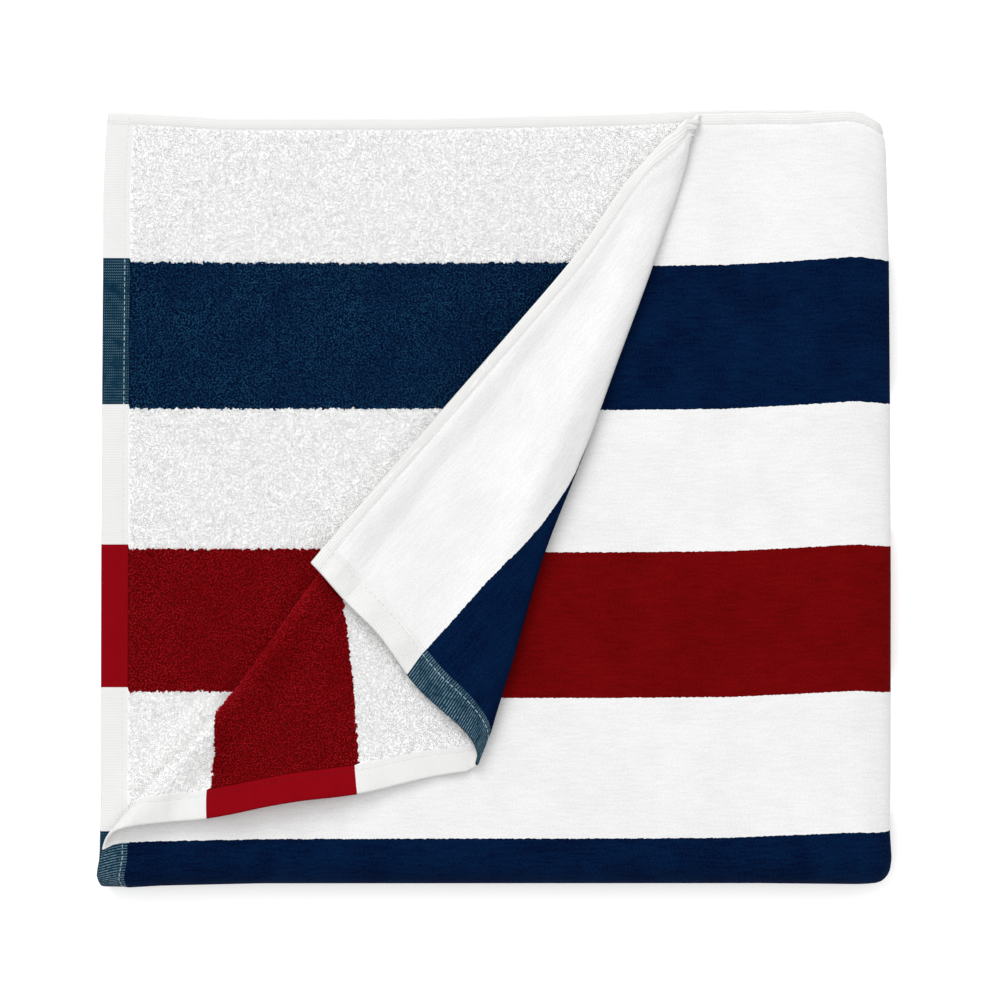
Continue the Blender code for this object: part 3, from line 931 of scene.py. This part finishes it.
class Finish:
    """A new material, and the one method that adds any node to it."""

    def __init__(self, name, **constants):
        self.material = bpy.data.materials.new(name)
        self.material.use_nodes = True
        self.tree = self.material.node_tree
        self.shader = self.tree.nodes["Principled BSDF"]
        for socket, value in constants.items():
            self.shader.inputs[socket.replace("_", " ")].default_value = value

    def node(self, kind, settings=None, sockets=(), output=0):
        """Any node: its kind, its settings, the values or wires of its sockets."""
        made = self.tree.nodes.new(kind)
        for key, value in (settings or {}).items():
            if key == "stops":
                self.set_stops(made.color_ramp, value)
            elif key == "interpolation":
                made.color_ramp.interpolation = value
            else:
                setattr(made, key, value)
        named = sockets.items() if isinstance(sockets, dict) else enumerate(sockets)
        for key, value in named:
            self.feed(made.inputs[key], value)
        return Wire(self, made.outputs[output])

    @staticmethod
    def set_stops(ramp, stops):
        while len(ramp.elements) < len(stops):
            ramp.elements.new(1.0)
        for element, (place, colour) in zip(ramp.elements, stops):
            element.position = place
            element.color = (*colour, 1.0)

    def feed(self, socket, value):
        if isinstance(value, Wire):
            self.tree.links.new(value.socket, socket)
        else:
            socket.default_value = value

    def blend(self, share, a, b):
        """Two colours through a Mix node, because a Math node would turn them grey."""
        return self.node("ShaderNodeMix", {"data_type": "RGBA"}, {0: share, 6: a, 7: b}, output=2)

    def noise(self, place, size, detail=2.0, roughness=0.5):
        sockets = {"Vector": place, "Scale": 1.0 / size, "Detail": detail, "Roughness": roughness}
        return self.node("ShaderNodeTexNoise", {"noise_dimensions": "3D"}, sockets)

    def drawn_out(self, place, *factors):
        """A place that a pattern reads, so that the pattern runs longer one way than another."""
        return self.node("ShaderNodeVectorMath", {"operation": "MULTIPLY"}, (place, factors))

    def on_cloth(self):
        """u, v and side, which each point of the cloth keeps."""
        return self.node("ShaderNodeAttribute", {"attribute_name": "cloth"}, (), "Vector")

    def on_piece(self):
        return self.node("ShaderNodeTexCoord", {}, (), "Object")

    def wear(self, **sockets):
        for socket, value in sockets.items():
            self.feed(self.shader.inputs[socket.replace("_", " ")], value)

    def bump(self, height, strength, distance):
        sockets = {"Strength": strength, "Distance": distance, "Height": height}
        self.wear(Normal=self.node("ShaderNodeBump", {}, sockets))


def linear(red, green, blue):
    """A colour picked on a screen, 0 to 255, as the light that it stands for."""
    return tuple(
        (c / 255 / 12.92) if c / 255 <= 0.04045 else ((c / 255 + 0.055) / 1.055) ** 2.4
        for c in (red, green, blue)
    )


print("middle grey on a screen is", round(linear(128, 128, 128)[0], 3), "as light")

# %% [markdown]
# ## Dyes
# The yarn is the same everywhere, so every finish takes its stripes from the same ramp. What
# differs is the tone: sheared pile looks deeper than loops, and a flat hem paler than both. Dyed
# cotton is never one flat colour either, so each stripe has a dark and a light tone, and a
# texture that stands for the pile or the weave chooses between them. The navy and red terry
# ground, darker than its loops, and the white hem's darker tone are painted shade.

# %% Stripe colours
ORDER = "WNWRWNWRWNW"  # white, navy and red
print(f"{len(ORDER)} stripes, each {CLOTH_WIDTH / len(ORDER) / MM:.1f} mm wide")


def stripes(finish, place, tones, ragged=0.0, size=1.0 * MM):
    """The dyed stripes by v, with an edge as ragged as the pile it is dyed in."""
    v = finish.node("ShaderNodeSeparateXYZ", {}, (place,)).output("Y")
    if ragged:
        v = v + (finish.noise(place, size, 1.0) - 0.5) * (2 * ragged)
    stops = [(i / len(ORDER), linear(*tones[letter])) for i, letter in enumerate(ORDER)]
    settings = {"interpolation": "CONSTANT", "stops": stops}
    return finish.node("ShaderNodeValToRGB", settings, (v / CLOTH_WIDTH,))


def dyed(finish, place, share, dark, light, **edge):
    """Stripes that run from their dark tone to their light one with a share from 0 to 1."""
    tones = (stripes(finish, place, dark, **edge), stripes(finish, place, light, **edge))
    return finish.blend(share, *tones)


# %% [markdown]
# ## Velour
# The face of the towel is sheared: the loops are cut, and what is left is a dense, soft pile. It
# drinks light, so it is rough with hardly any gloss, and where a hand has brushed it the pile
# lies over and looks a shade lighter or darker. Fine rows along the cloth are the warp.

# %% Velour material
VELOUR_DARK = {"W": (219, 219, 219), "N": (0, 2, 29), "R": (84, 1, 2)}
VELOUR_LIGHT = {"W": (238, 238, 238), "N": (5, 33, 68), "R": (118, 7, 10)}
VELOUR_EDGE = {"ragged": 0.5 * MM, "size": 1.6 * MM}


def velour_finish():
    finish = Finish("Sheared velour", Roughness=0.95, Specular_IOR_Level=0.03)
    place = finish.on_cloth()
    brushed = finish.noise(place, 24.0 * MM, 3.0, 0.6).between(0.3, 0.7)
    fibre = finish.noise(place, 1.0 * MM, 2.0, 0.7).between(0.25, 0.75)
    rows = finish.noise(finish.drawn_out(place, 0.14, 1.0, 1.0), 1.3 * MM, 1.0).between(0.3, 0.7)
    share = fibre * 0.55 + rows * 0.2 + brushed * 0.25
    colour = dyed(finish, place, share, VELOUR_DARK, VELOUR_LIGHT, **VELOUR_EDGE)
    finish.wear(Base_Color=colour)
    finish.bump(fibre * 0.6 + rows * 0.4, strength=0.3, distance=0.3 * MM)
    return finish.material


VELOUR = velour_finish()
print("made", VELOUR.name)

# %% [markdown]
# ## Terry ground and loops
# The back is terry: thousands of small loops that stand on a plain ground weave. The loops are
# real geometry where they show, so some of the shade between them is real. The navy and red
# ground is also given tones darker than its loops: painted shade between the loops.

# %% Terry materials
# the navy and red ground is darker than its loops: painted shade between the loops
SHADED_GROUND_DARK = {"W": (250, 250, 249), "N": (2, 15, 41), "R": (93, 3, 5)}
SHADED_GROUND_LIGHT = {"W": (253, 253, 252), "N": (5, 27, 58), "R": (116, 4, 8)}
LOOP_DARK = {"W": (251, 251, 251), "N": (4, 27, 58), "R": (124, 4, 8)}
LOOP_LIGHT = {"W": (255, 255, 255), "N": (18, 53, 92), "R": (167, 13, 20)}
TERRY_EDGE = {"ragged": 1.7 * MM, "size": 2.0 * MM}
GROUND_CELL = 1.6 * MM
SOFT = {  # light goes a little way into a loop and comes out beside it
    "Subsurface_Weight": 1.0,
    "Subsurface_Radius": (1.0, 1.0, 1.0),
    "Subsurface_Scale": 2.0 * MM,
}


def ground_finish():
    finish = Finish("Terry ground", Roughness=0.95, Specular_IOR_Level=0.03, **SOFT)
    place = finish.on_cloth()
    cells = finish.node("ShaderNodeTexVoronoi", {}, {"Vector": place, "Scale": 1 / GROUND_CELL})
    # the ground's darker navy and red tones are painted shade between the loops
    colour = dyed(finish, place, 1.0 - cells, SHADED_GROUND_DARK, SHADED_GROUND_LIGHT, **TERRY_EDGE)
    finish.wear(Base_Color=colour)
    finish.bump(1.0 - cells, strength=0.8, distance=0.8 * MM)
    return finish.material


def loop_finish():
    finish = Finish("Terry loops", Roughness=0.9, Specular_IOR_Level=0.04, **SOFT)
    place = finish.on_cloth()
    own_shade = finish.node("ShaderNodeAttribute", {"attribute_name": "shade"}, (), "Fac")
    brushed = finish.noise(place, 26.0 * MM, 2.0, 0.6).between(0.3, 0.7)
    share = own_shade * 0.6 + brushed * 0.4
    finish.wear(Base_Color=dyed(finish, place, share, LOOP_DARK, LOOP_LIGHT, **TERRY_EDGE))
    fibre = finish.noise(finish.on_piece(), 0.35 * MM, 2.0, 0.7)
    finish.bump(fibre, strength=0.4, distance=0.12 * MM)
    return finish.material


GROUND, LOOPS = ground_finish(), loop_finish()
print("made", GROUND.name, "and", LOOPS.name)

# %% [markdown]
# ## Hems
# The hems are woven flat, without pile. On the face of the cloth the white warp shows as fine
# ribs that run off its end, and on the back as a twill of small light dots. On the white hem the
# darker tone between the ribs and dots is painted shade.

# %% Hem material
# on the white hem the dark tone is painted shade between the ribs; on navy the light tone is the white
# warp
HEM_DARK = {"W": (222, 222, 221), "N": (2, 40, 60), "R": (130, 3, 14)}
HEM_LIGHT = {"W": (249, 249, 248), "N": (144, 174, 188), "R": (156, 14, 32)}
WARP_SPACING, TWILL_SPACING, TWILL_SLOPE = 1.27 * MM, 1.05 * MM, 0.8


def waves(place, spacing):
    """0 to 1 and back, once for each spacing."""
    return (place * (2 * math.pi / spacing)).maths("SINE") * 0.5 + 0.5


def hem_finish():
    finish = Finish("Flat woven hem", Roughness=0.9, Specular_IOR_Level=0.04)
    place = finish.on_cloth()
    u = finish.node("ShaderNodeSeparateXYZ", {}, (place,))
    v, side = u.output("Y"), u.output("Z")
    warp = waves(v, WARP_SPACING)
    twill = waves(u + v * TWILL_SLOPE, TWILL_SPACING)
    broken = finish.noise(finish.drawn_out(place, 0.4, 1.0, 1.0), 0.5 * MM, 1.0).between(0.25, 0.6)
    patchy = finish.noise(place, 9.0 * MM, 3.0, 0.7).between(0.3, 0.6)
    ribs = warp.between(0.4, 1.0) * broken * (patchy * 0.45 + 0.17)
    dots = (warp * 0.5 + twill * 0.5) * (warp * twill).between(0.2, 0.8) * patchy * 0.42
    face = side.between(-0.5, 0.5)
    # on the white hem the darker tone chosen here is painted shade between ribs and dots
    threads = ribs * face + dots * (1.0 - face)
    finish.wear(Base_Color=dyed(finish, place, threads, HEM_DARK, HEM_LIGHT))
    finish.bump(warp * 0.7 + twill * 0.3, strength=0.4, distance=0.25 * MM)
    return finish.material


HEM = hem_finish()
print("made", HEM.name)

# %% Each face of the sheet gets its finish
ON_SIDE = 0.9  # the side value is 1 on velour, -1 on terry and 0 along the rim


def dress_sheet(sheet, faces, places):
    """Velour on the face, terry ground on the back, and the flat hem on the borders and the rim."""
    for material in (VELOUR, GROUND, HEM):
        sheet.data.materials.append(material)
    centre = places[faces].mean(axis=1)
    end, edge = from_edges(centre[:, 0], centre[:, 1])
    index = np.where(centre[:, 2] > ON_SIDE, 0, 1)
    index[(end < END_HEM) | (edge < SIDE_HEM) | (np.abs(centre[:, 2]) < ON_SIDE)] = 2
    sheet.data.polygons.foreach_set("material_index", index.astype(np.int32))
    return index


FINISHES = dress_sheet(towel, SHEET_FACES, SHEET_PLACES)
print("faces of velour, terry and hem:", [int((FINISHES == i).sum()) for i in range(3)])

# %% [markdown]
# ## Loops by Geometry Nodes
# Nobody places more than twenty thousand loops by hand. One bent piece of yarn is made once,
# points are scattered evenly over the terry, and the yarn is set on each of them, turned and
# leaned at random. A ray sent up from each point drops the loops that another layer covers.

# %% Short ways to build a tree


class Tree:
    """A Geometry Nodes tree with named inputs, whose result wears the input called Finish."""

    def __init__(self, name, inputs):
        self.group = bpy.data.node_groups.new(name, "GeometryNodeTree")
        self.put_socket("Geometry", "NodeSocketGeometry")
        for label, value in inputs.items():
            kind = "NodeSocketInt" if isinstance(value, int) else "NodeSocketFloat"
            self.put_socket(label, kind).default_value = value
        self.put_socket("Finish", "NodeSocketMaterial")
        self.put_socket("Geometry", "NodeSocketGeometry", "OUTPUT")
        self.given = self.group.nodes.new("NodeGroupInput").outputs

    def put_socket(self, label, kind, way="INPUT"):
        return self.group.interface.new_socket(label, in_out=way, socket_type=kind)

    def add(self, kind, sockets, **settings):
        """The outputs of a new node, by its kind, what its sockets get, and its settings."""
        made = self.group.nodes.new(kind)
        for key, value in settings.items():
            setattr(made, key, value)
        for key, value in sockets.items():
            if isinstance(value, bpy.types.NodeSocket):
                self.group.links.new(value, made.inputs[key])
            else:
                made.inputs[key].default_value = value
        return made.outputs

    def maths(self, operation, *values):
        return self.add("ShaderNodeMath", dict(enumerate(values)), operation=operation)[0]

    def vector(self, operation, sockets):
        return self.add("ShaderNodeVectorMath", sockets, operation=operation)[0]

    def combine(self, x, y, z=0.0):
        return self.add("ShaderNodeCombineXYZ", {"X": x, "Y": y, "Z": z})[0]

    def named(self, name, data_type="FLOAT_VECTOR"):
        return self.add("GeometryNodeInputNamedAttribute", {"Name": name}, data_type=data_type)[0]

    def store(self, geometry, name, value, data_type):
        sockets = {"Geometry": geometry, "Name": name, "Value": value}
        kind = "GeometryNodeStoreNamedAttribute"
        return self.add(kind, sockets, data_type=data_type, domain="POINT")[0]

    def random(self, low, high, draw):
        """A random value for each point. Each draw has a seed of its own."""
        seed = self.maths("ADD", self.given["Seed"], draw)
        return self.add("FunctionNodeRandomValue", {2: low, 3: high, "Seed": seed}, data_type="FLOAT")[1]

    def smooth(self, mesh):
        return self.add("GeometryNodeSetShadeSmooth", {"Geometry": mesh})[0]

    def set_on(self, points, piece, rotation, scale):
        """Ends the tree with one copy of a piece on each point, made real, in its finish."""
        sockets = {"Points": points, "Instance": piece, "Rotation": rotation, "Scale": scale}
        placed = self.add("GeometryNodeInstanceOnPoints", sockets)
        real = self.add("GeometryNodeRealizeInstances", {0: placed[0]})
        sockets = {"Geometry": real[0], "Material": self.given["Finish"]}
        done = self.add("GeometryNodeSetMaterial", sockets)
        self.group.links.new(done[0], self.group.nodes.new("NodeGroupOutput").inputs[0])


def grown(name, carrier, tree, values):
    """Runs a tree on a carrier, keeps the result as a plain mesh, and removes the carrier."""
    modifier = carrier.modifiers.new(tree.name, "NODES")
    modifier.node_group = tree
    named = {s.name: s.identifier for s in tree.interface.items_tree if s.in_out == "INPUT"}
    for label, value in values.items():
        modifier[named[label]] = value
    carrier.update_tag()
    seen = bpy.context.evaluated_depsgraph_get()
    seen.update()
    mesh = bpy.data.meshes.new_from_object(carrier.evaluated_get(seen))
    carrier.modifiers.remove(modifier)
    bpy.data.objects.remove(carrier)
    mesh.name = name
    triangles = sum(len(p.vertices) - 2 for p in mesh.polygons)
    print(f"{name}: {len(mesh.vertices)} points, {triangles} triangles")
    return shown(name, mesh)


# %% Points of open terry
MOST_LOOPS = 2.4e6  # to a square metre, before those too close together are dropped
RAY_LIFT = 0.3 * MM  # so that a ray doesn't meet the face that it starts on


def open_points(tree):
    """Points scattered on one patch, without those that another layer covers."""
    given = tree.given
    same = {2: tree.named("patch", "INT"), 3: given["Patch"]}
    chosen = tree.add("FunctionNodeCompare", same, data_type="INT", operation="EQUAL")
    scatter = {
        "Mesh": given["Geometry"],
        "Selection": chosen[0],
        "Distance Min": given["Spacing"],
        "Density Max": MOST_LOOPS,
        "Seed": given["Seed"],
    }
    dots = tree.add("GeometryNodeDistributePointsOnFaces", scatter, distribute_method="POISSON")
    tagged = tree.store(dots["Points"], "up", dots["Normal"], "FLOAT_VECTOR")
    up = tree.named("up")
    lifted = tree.vector("SCALE", {0: up, "Scale": RAY_LIFT})
    here = tree.add("GeometryNodeInputPosition", {})
    aim = {
        "Target Geometry": given["Geometry"],
        "Source Position": tree.vector("ADD", {0: here[0], 1: lifted}),
        "Ray Direction": up,
        "Ray Length": given["Clear above"],
    }
    hit = tree.add("GeometryNodeRaycast", aim)["Is Hit"]
    covered = {"Geometry": tagged, "Selection": hit}
    return tree.add("GeometryNodeDeleteGeometry", covered, domain="POINT")[0]


# %% One loop of yarn, and how it stands
FOOT_SHARE, KNEE_SHARE, SKEW_SHARE = 0.5, 0.75, 0.22  # of the loop's width
KNEE_HEIGHT = 1.25  # against the height that the yarn reaches
OPPOSITE = (-1, -1, 1)


def bent_yarn(tree):
    """A short bent thread: its feet stand apart, and it runs a little aslant between them."""
    width = tree.given["Loop width"]
    shares = (FOOT_SHARE, KNEE_SHARE, SKEW_SHARE)
    foot_out, knee_out, skew = (tree.maths("MULTIPLY", width, share) for share in shares)
    foot = tree.combine(foot_out, skew)
    high = tree.maths("MULTIPLY", tree.given["Loop height"], KNEE_HEIGHT)
    knee = tree.combine(knee_out, tree.maths("MULTIPLY", skew, -1.0), high)
    other_foot, other_knee = (tree.vector("MULTIPLY", {0: end, 1: OPPOSITE}) for end in (foot, knee))
    bend = {
        "Resolution": 4,
        "Start": foot,
        "Start Handle": knee,
        "End Handle": other_knee,
        "End": other_foot,
    }
    path = tree.add("GeometryNodeCurvePrimitiveBezierSegment", bend)
    radius = tree.maths("MULTIPLY", tree.given["Yarn thickness"], 0.5)
    ring = tree.add("GeometryNodeCurvePrimitiveCircle", {"Resolution": 3, "Radius": radius})
    yarn = tree.add("GeometryNodeCurveToMesh", {"Curve": path[0], "Profile Curve": ring[0]})
    return tree.smooth(yarn[0])


def loop_rotation(tree):
    """Upright on the cloth, then turned about itself and leaned over at random."""
    lean = tree.given["Lean"]
    spin = tree.random(0.0, 2 * math.pi, 1.0)
    lean = tree.random(tree.maths("MULTIPLY", lean, -1.0), lean, 2.0)
    turned = tree.add("FunctionNodeAlignRotationToVector", {"Vector": tree.named("up")}, axis="Z")
    for axis, angle in (((0, 0, 1), spin), ((1, 0, 0), lean)):
        extra = tree.add("FunctionNodeAxisAngleToRotation", {"Axis": axis, "Angle": angle})
        both = {0: turned[0], 1: extra[0]}
        turned = tree.add("FunctionNodeRotateRotation", both, rotation_space="LOCAL")
    return turned[0]


# %% The tree that grows the loops
LOOP_INPUTS = {
    "Patch": 1,
    "Spacing": 1.0 * MM,
    "Loop width": 0.75 * MM,
    "Loop height": 0.45 * MM,
    "Yarn thickness": 0.64 * MM,
    "Lean": 0.3,
    "Clear above": 2.2 * MM,
    "Seed": 7,
}


def build_loop_tree():
    tree = Tree("Terry loops", LOOP_INPUTS)
    shaded = tree.store(open_points(tree), "shade", tree.random(0.0, 1.0, 0.0), "FLOAT")
    tree.set_on(shaded, bent_yarn(tree), loop_rotation(tree), tree.random(0.8, 1.2, 3.0))
    return tree.group


LOOP_TREE = build_loop_tree()
print(LOOP_TREE.name, "has", len(LOOP_TREE.nodes), "nodes")

# %% Patches of open terry
LOOP_PATCHES = ("upper", "navy", "middle", "lower", "turned")
PATCH_ENDS = (0.072, 0.145, 0.213)  # places across the cloth where one patch gives way to the next
BACK_REACH = 0.13  # further right than this, the top layer covers the back
TURNED_ABOVE = TOP_Z + 1.5 * MM
BESIDE_HEMS = (0.4 * MM, 0.8 * MM)  # the loops keep this far from end hem and side hem
# a face can be seen if one of these rays, from just above it, meets no cloth
VIEW_LIFT, VIEW_LENGTH = 0.8 * MM, 80 * MM
VIEWS = ((0, 0, 1), (-1, 0, 0.9), (0, -1, 0.9), (-0.7, -0.7, 0.8), (0.7, -0.7, 0.8))


def terry_patches():
    """A number for each face: 0 for no loops, 1 to 5 for the patch that its loops belong to."""
    centre = SHEET_PLACES[SHEET_FACES].mean(axis=1)
    at = SHEET_POINTS[SHEET_FACES].mean(axis=1)
    u, v, side = centre.T
    end, edge = from_edges(u, v)
    terry = (side < -ON_SIDE) & (end > END_HEM + BESIDE_HEMS[0]) & (edge > SIDE_HEM + BESIDE_HEMS[1])
    under = terry & (u > BACK_START) & (v < FRONT_LENGTH) & (at[:, 0] < BACK_REACH)
    turned = terry & (u < TOP_END) & (v < FRONT_LENGTH) & (at[:, 2] > TURNED_ABOVE)
    cover = BVHTree.FromPolygons(SHEET_POINTS.tolist(), SHEET_FACES.tolist())
    rays = [Vector(view).normalized() for view in VIEWS]
    patch = np.zeros(len(centre), np.int32)
    for i in np.flatnonzero(under | turned):
        place = Vector(at[i]) + Vector((0, 0, VIEW_LIFT))
        if any(cover.ray_cast(place, ray, VIEW_LENGTH)[0] is None for ray in rays):
            patch[i] = len(LOOP_PATCHES) if turned[i] else 1 + np.searchsorted(PATCH_ENDS, v[i])
    return patch


PATCHES = terry_patches()
print("faces with loops:", [int((PATCHES == i + 1).sum()) for i in range(len(LOOP_PATCHES))])

# %% Grow the loops


def patch_carrier():
    mesh = plain_mesh("terry", SHEET_POINTS, SHEET_FACES, SHEET_CLOTH)
    keep(mesh, "patch", "INT", "FACE", PATCHES)
    return shown("terry_carrier", mesh)


def loop_values(number):
    return {"Patch": number, "Seed": 10 * number, "Finish": LOOPS}


loops = [
    grown(f"terry_loops_{name}", patch_carrier(), LOOP_TREE, loop_values(number))
    for number, name in enumerate(LOOP_PATCHES, 1)
]

# %% [markdown]
# ## Sewing by Geometry Nodes
# A lockstitch is a row of short threads that dip into the cloth at each needle hole. The row is
# one path on the cloth, cut into equal steps, with a small flattened thread set on each step and
# turned to run along it.

# %% Paths of the sewing
STEP = 0.2 * MM  # between the places that give the cloth's slope
THREAD_PROUD = 0.1 * MM
SEAM_START, SEAM_STEP = 2.0 * MM, 2.0 * MM


def surface(u, v, side, proud):
    """A point on one side of the cloth, and the direction that leads out of the cloth there."""
    inside_u = min(max(u, STEP), CLOTH_LENGTH - STEP)
    inside_v = min(max(v, STEP), CLOTH_WIDTH - STEP)
    along = middle(inside_u + STEP, v) - middle(inside_u - STEP, v)
    across = middle(u, inside_v + STEP) - middle(u, inside_v - STEP)
    out = -along.cross(across).normalized()
    if side == "terry":
        out = -out
    height = float(out_from_middle(np.array([u]), np.array([v]), side)[0])
    return middle(u, v) + out * (height + proud), out


def sewing_path(name, places, side):
    rows = [surface(u, v, side, THREAD_PROUD) for u, v in places]
    mesh = bpy.data.meshes.new(name)
    mesh.from_pydata([tuple(p) for p, _ in rows], [(i, i + 1) for i in range(len(rows) - 1)], [])
    keep(mesh, "up", "FLOAT_VECTOR", "POINT", [out for _, out in rows])
    marks = [(u, stripe_place(u, v, p.x), 1.0) for (u, v), (p, _) in zip(places, rows)]
    keep(mesh, "cloth", "FLOAT_VECTOR", "POINT", marks)
    return shown(name, mesh)


def along_seam(length):
    return [SEAM_START, *spread(SEAM_START, length - SEAM_START, SEAM_STEP)]


print(f"{len(along_seam(CLOTH_LENGTH))} places along a side seam")

# %% A stitching tree
STITCH_INPUTS = {
    "Stitch spacing": 2.9 * MM,
    "Stitch length": 2.3 * MM,
    "Thread thickness": 0.5 * MM,
}
FLATTENED = 0.8  # a stitch is pulled flat against the cloth


def build_stitch_tree():
    tree = Tree("Sewing", STITCH_INPUTS)
    given = tree.given
    line = tree.add("GeometryNodeMeshToCurve", {0: given["Geometry"]})
    cuts = {"Curve": line[0], "Length": given["Stitch spacing"]}
    points = tree.add("GeometryNodeCurveToPoints", cuts, mode="LENGTH")
    bead = tree.add("GeometryNodeMeshUVSphere", {"Segments": 6, "Rings": 4, "Radius": 0.5})
    thickness = given["Thread thickness"]
    size = tree.combine(tree.maths("MULTIPLY", thickness, FLATTENED), thickness, given["Stitch length"])
    align = "FunctionNodeAlignRotationToVector"
    along = tree.add(align, {"Vector": points["Tangent"]}, axis="Z")
    facing = {"Rotation": along[0], "Vector": tree.named("up")}
    turned = tree.add(align, facing, axis="X", pivot_axis="Z")
    tree.set_on(points["Points"], tree.smooth(bead[0]), turned[0], size)
    return tree.group


STITCH_TREE = build_stitch_tree()
print(STITCH_TREE.name, "has", len(STITCH_TREE.nodes), "nodes")

# %% Sewing thread
THREAD_DARK = {"W": (214, 214, 213), "N": (122, 148, 160), "R": (112, 3, 12)}
THREAD_LIGHT = {"W": (236, 236, 235), "N": (190, 208, 216), "R": (150, 12, 26)}


def thread_finish():
    finish = Finish("Sewing thread", Roughness=0.7, Specular_IOR_Level=0.1)
    twist = finish.noise(finish.on_piece(), 0.3 * MM, 1.0)
    colour = dyed(finish, finish.on_cloth(), twist, THREAD_DARK, THREAD_LIGHT)
    finish.wear(Base_Color=colour)
    return finish.material


THREAD = thread_finish()
print("made", THREAD.name)

# %% Sew the hems
END_SEAM, SIDE_SEAM = 10.2 * MM, 5.1 * MM
ACROSS, ALONG = along_seam(CLOTH_WIDTH), along_seam(CLOTH_LENGTH)
SEAMS = {
    "stitches_end_a": [(END_SEAM, v) for v in ACROSS],
    "stitches_end_b": [(CLOTH_LENGTH - END_SEAM, v) for v in ACROSS],
    "stitches_side_a": [(u, SIDE_SEAM) for u in ALONG],
    "stitches_side_b": [(u, CLOTH_WIDTH - SIDE_SEAM) for u in ALONG],
}
stitches = [
    grown(f"{name}_{side}", sewing_path(name, places, side), STITCH_TREE, {"Finish": THREAD})
    for name, places in SEAMS.items()
    for side in ("velour", "terry")
]

# %% [markdown]
# ## What is cloth, and what it stands for
# The sheet replaces the part's soft solid, which is hidden, and the loops and stitches are
# attached to the same body as the sheet.

for piece in [towel, *loops, *stitches]:
    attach(piece, "root")
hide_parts("towel_cloth")

# %% [markdown]
# ## Studio
# The photograph is taken straight down on a white table in soft, even light that comes from above
# and a little more from the upper left. A long lens far away keeps the edges straight.

# %% Camera, floor and light
PIXEL = 0.485 * MM
HALF_PICTURE = 500  # in pixels, as the next
FOLDS_CENTRE = (494.5, 498.5)  # where the point from which the folds are measured shows
CAMERA_DISTANCE = 2.0
EYE_X = (HALF_PICTURE - FOLDS_CENTRE[0]) * PIXEL - OUTLINE_MIDDLE[0]
EYE_Y = (FOLDS_CENTRE[1] - HALF_PICTURE) * PIXEL - OUTLINE_MIDDLE[1]
WHITE = (1.0, 1.0, 1.0, 1.0)
FLOOR_SIZE = 4.0
print(f"the eye is above x {EYE_X / MM:.1f} mm, y {EYE_Y / MM:.1f} mm")


def add_camera():
    camera = bpy.data.objects.new("Camera", bpy.data.cameras.new("Camera"))
    camera.location = (EYE_X, EYE_Y, TOP_Z + CAMERA_DISTANCE)
    camera.data.angle = 2 * math.atan(HALF_PICTURE * PIXEL / CAMERA_DISTANCE)
    camera.data.clip_end = 20.0
    bpy.context.scene.collection.objects.link(camera)
    bpy.context.scene.camera = camera


def add_floor():
    """A white table that is lit a little from within, so that it shows as pure white."""
    corners = [(x * FLOOR_SIZE, y * FLOOR_SIZE, 0) for x, y in ((-1, -1), (1, -1), (1, 1), (-1, 1))]
    floor = shown("floor", plain_mesh("floor", corners, [(0, 1, 2, 3)]))
    glow = {"Emission_Color": WHITE, "Emission_Strength": 0.3}
    finish = Finish("White light table", Roughness=0.7, **glow)
    tone = finish.noise(finish.on_piece(), 0.4, 2.0) * 0.02 + 0.93
    finish.wear(Base_Color=finish.node("ShaderNodeCombineColor", {}, (tone, tone, tone)))
    floor.data.materials.append(finish.material)


def add_light(name, place, size, power):
    """A square light that points at the towel."""
    light = bpy.data.lights.new(name, "AREA")
    light.shape, light.size, light.energy = "SQUARE", size, power
    thing = bpy.data.objects.new(name, light)
    thing.location = place
    thing.rotation_euler = (-Vector(place)).to_track_quat("-Z", "Y").to_euler()
    bpy.context.scene.collection.objects.link(thing)


def set_sky(strength):
    world = bpy.data.worlds.new("Studio")
    world.use_nodes = True
    sky = world.node_tree.nodes["Background"].inputs
    sky["Color"].default_value, sky["Strength"].default_value = WHITE, strength
    bpy.context.scene.world = world
    bpy.context.scene.view_settings.view_transform = "Standard"


add_camera()
add_floor()
add_light("Softbox", (-1.5, 3.6, 3.9), size=2.8, power=140.0)
add_light("Overhead", (0.0, 0.0, 4.0), size=4.0, power=76.0)
set_sky(0.5)
bpy.context.scene.cycles.diffuse_bounces = 8  # light that goes on between the layers
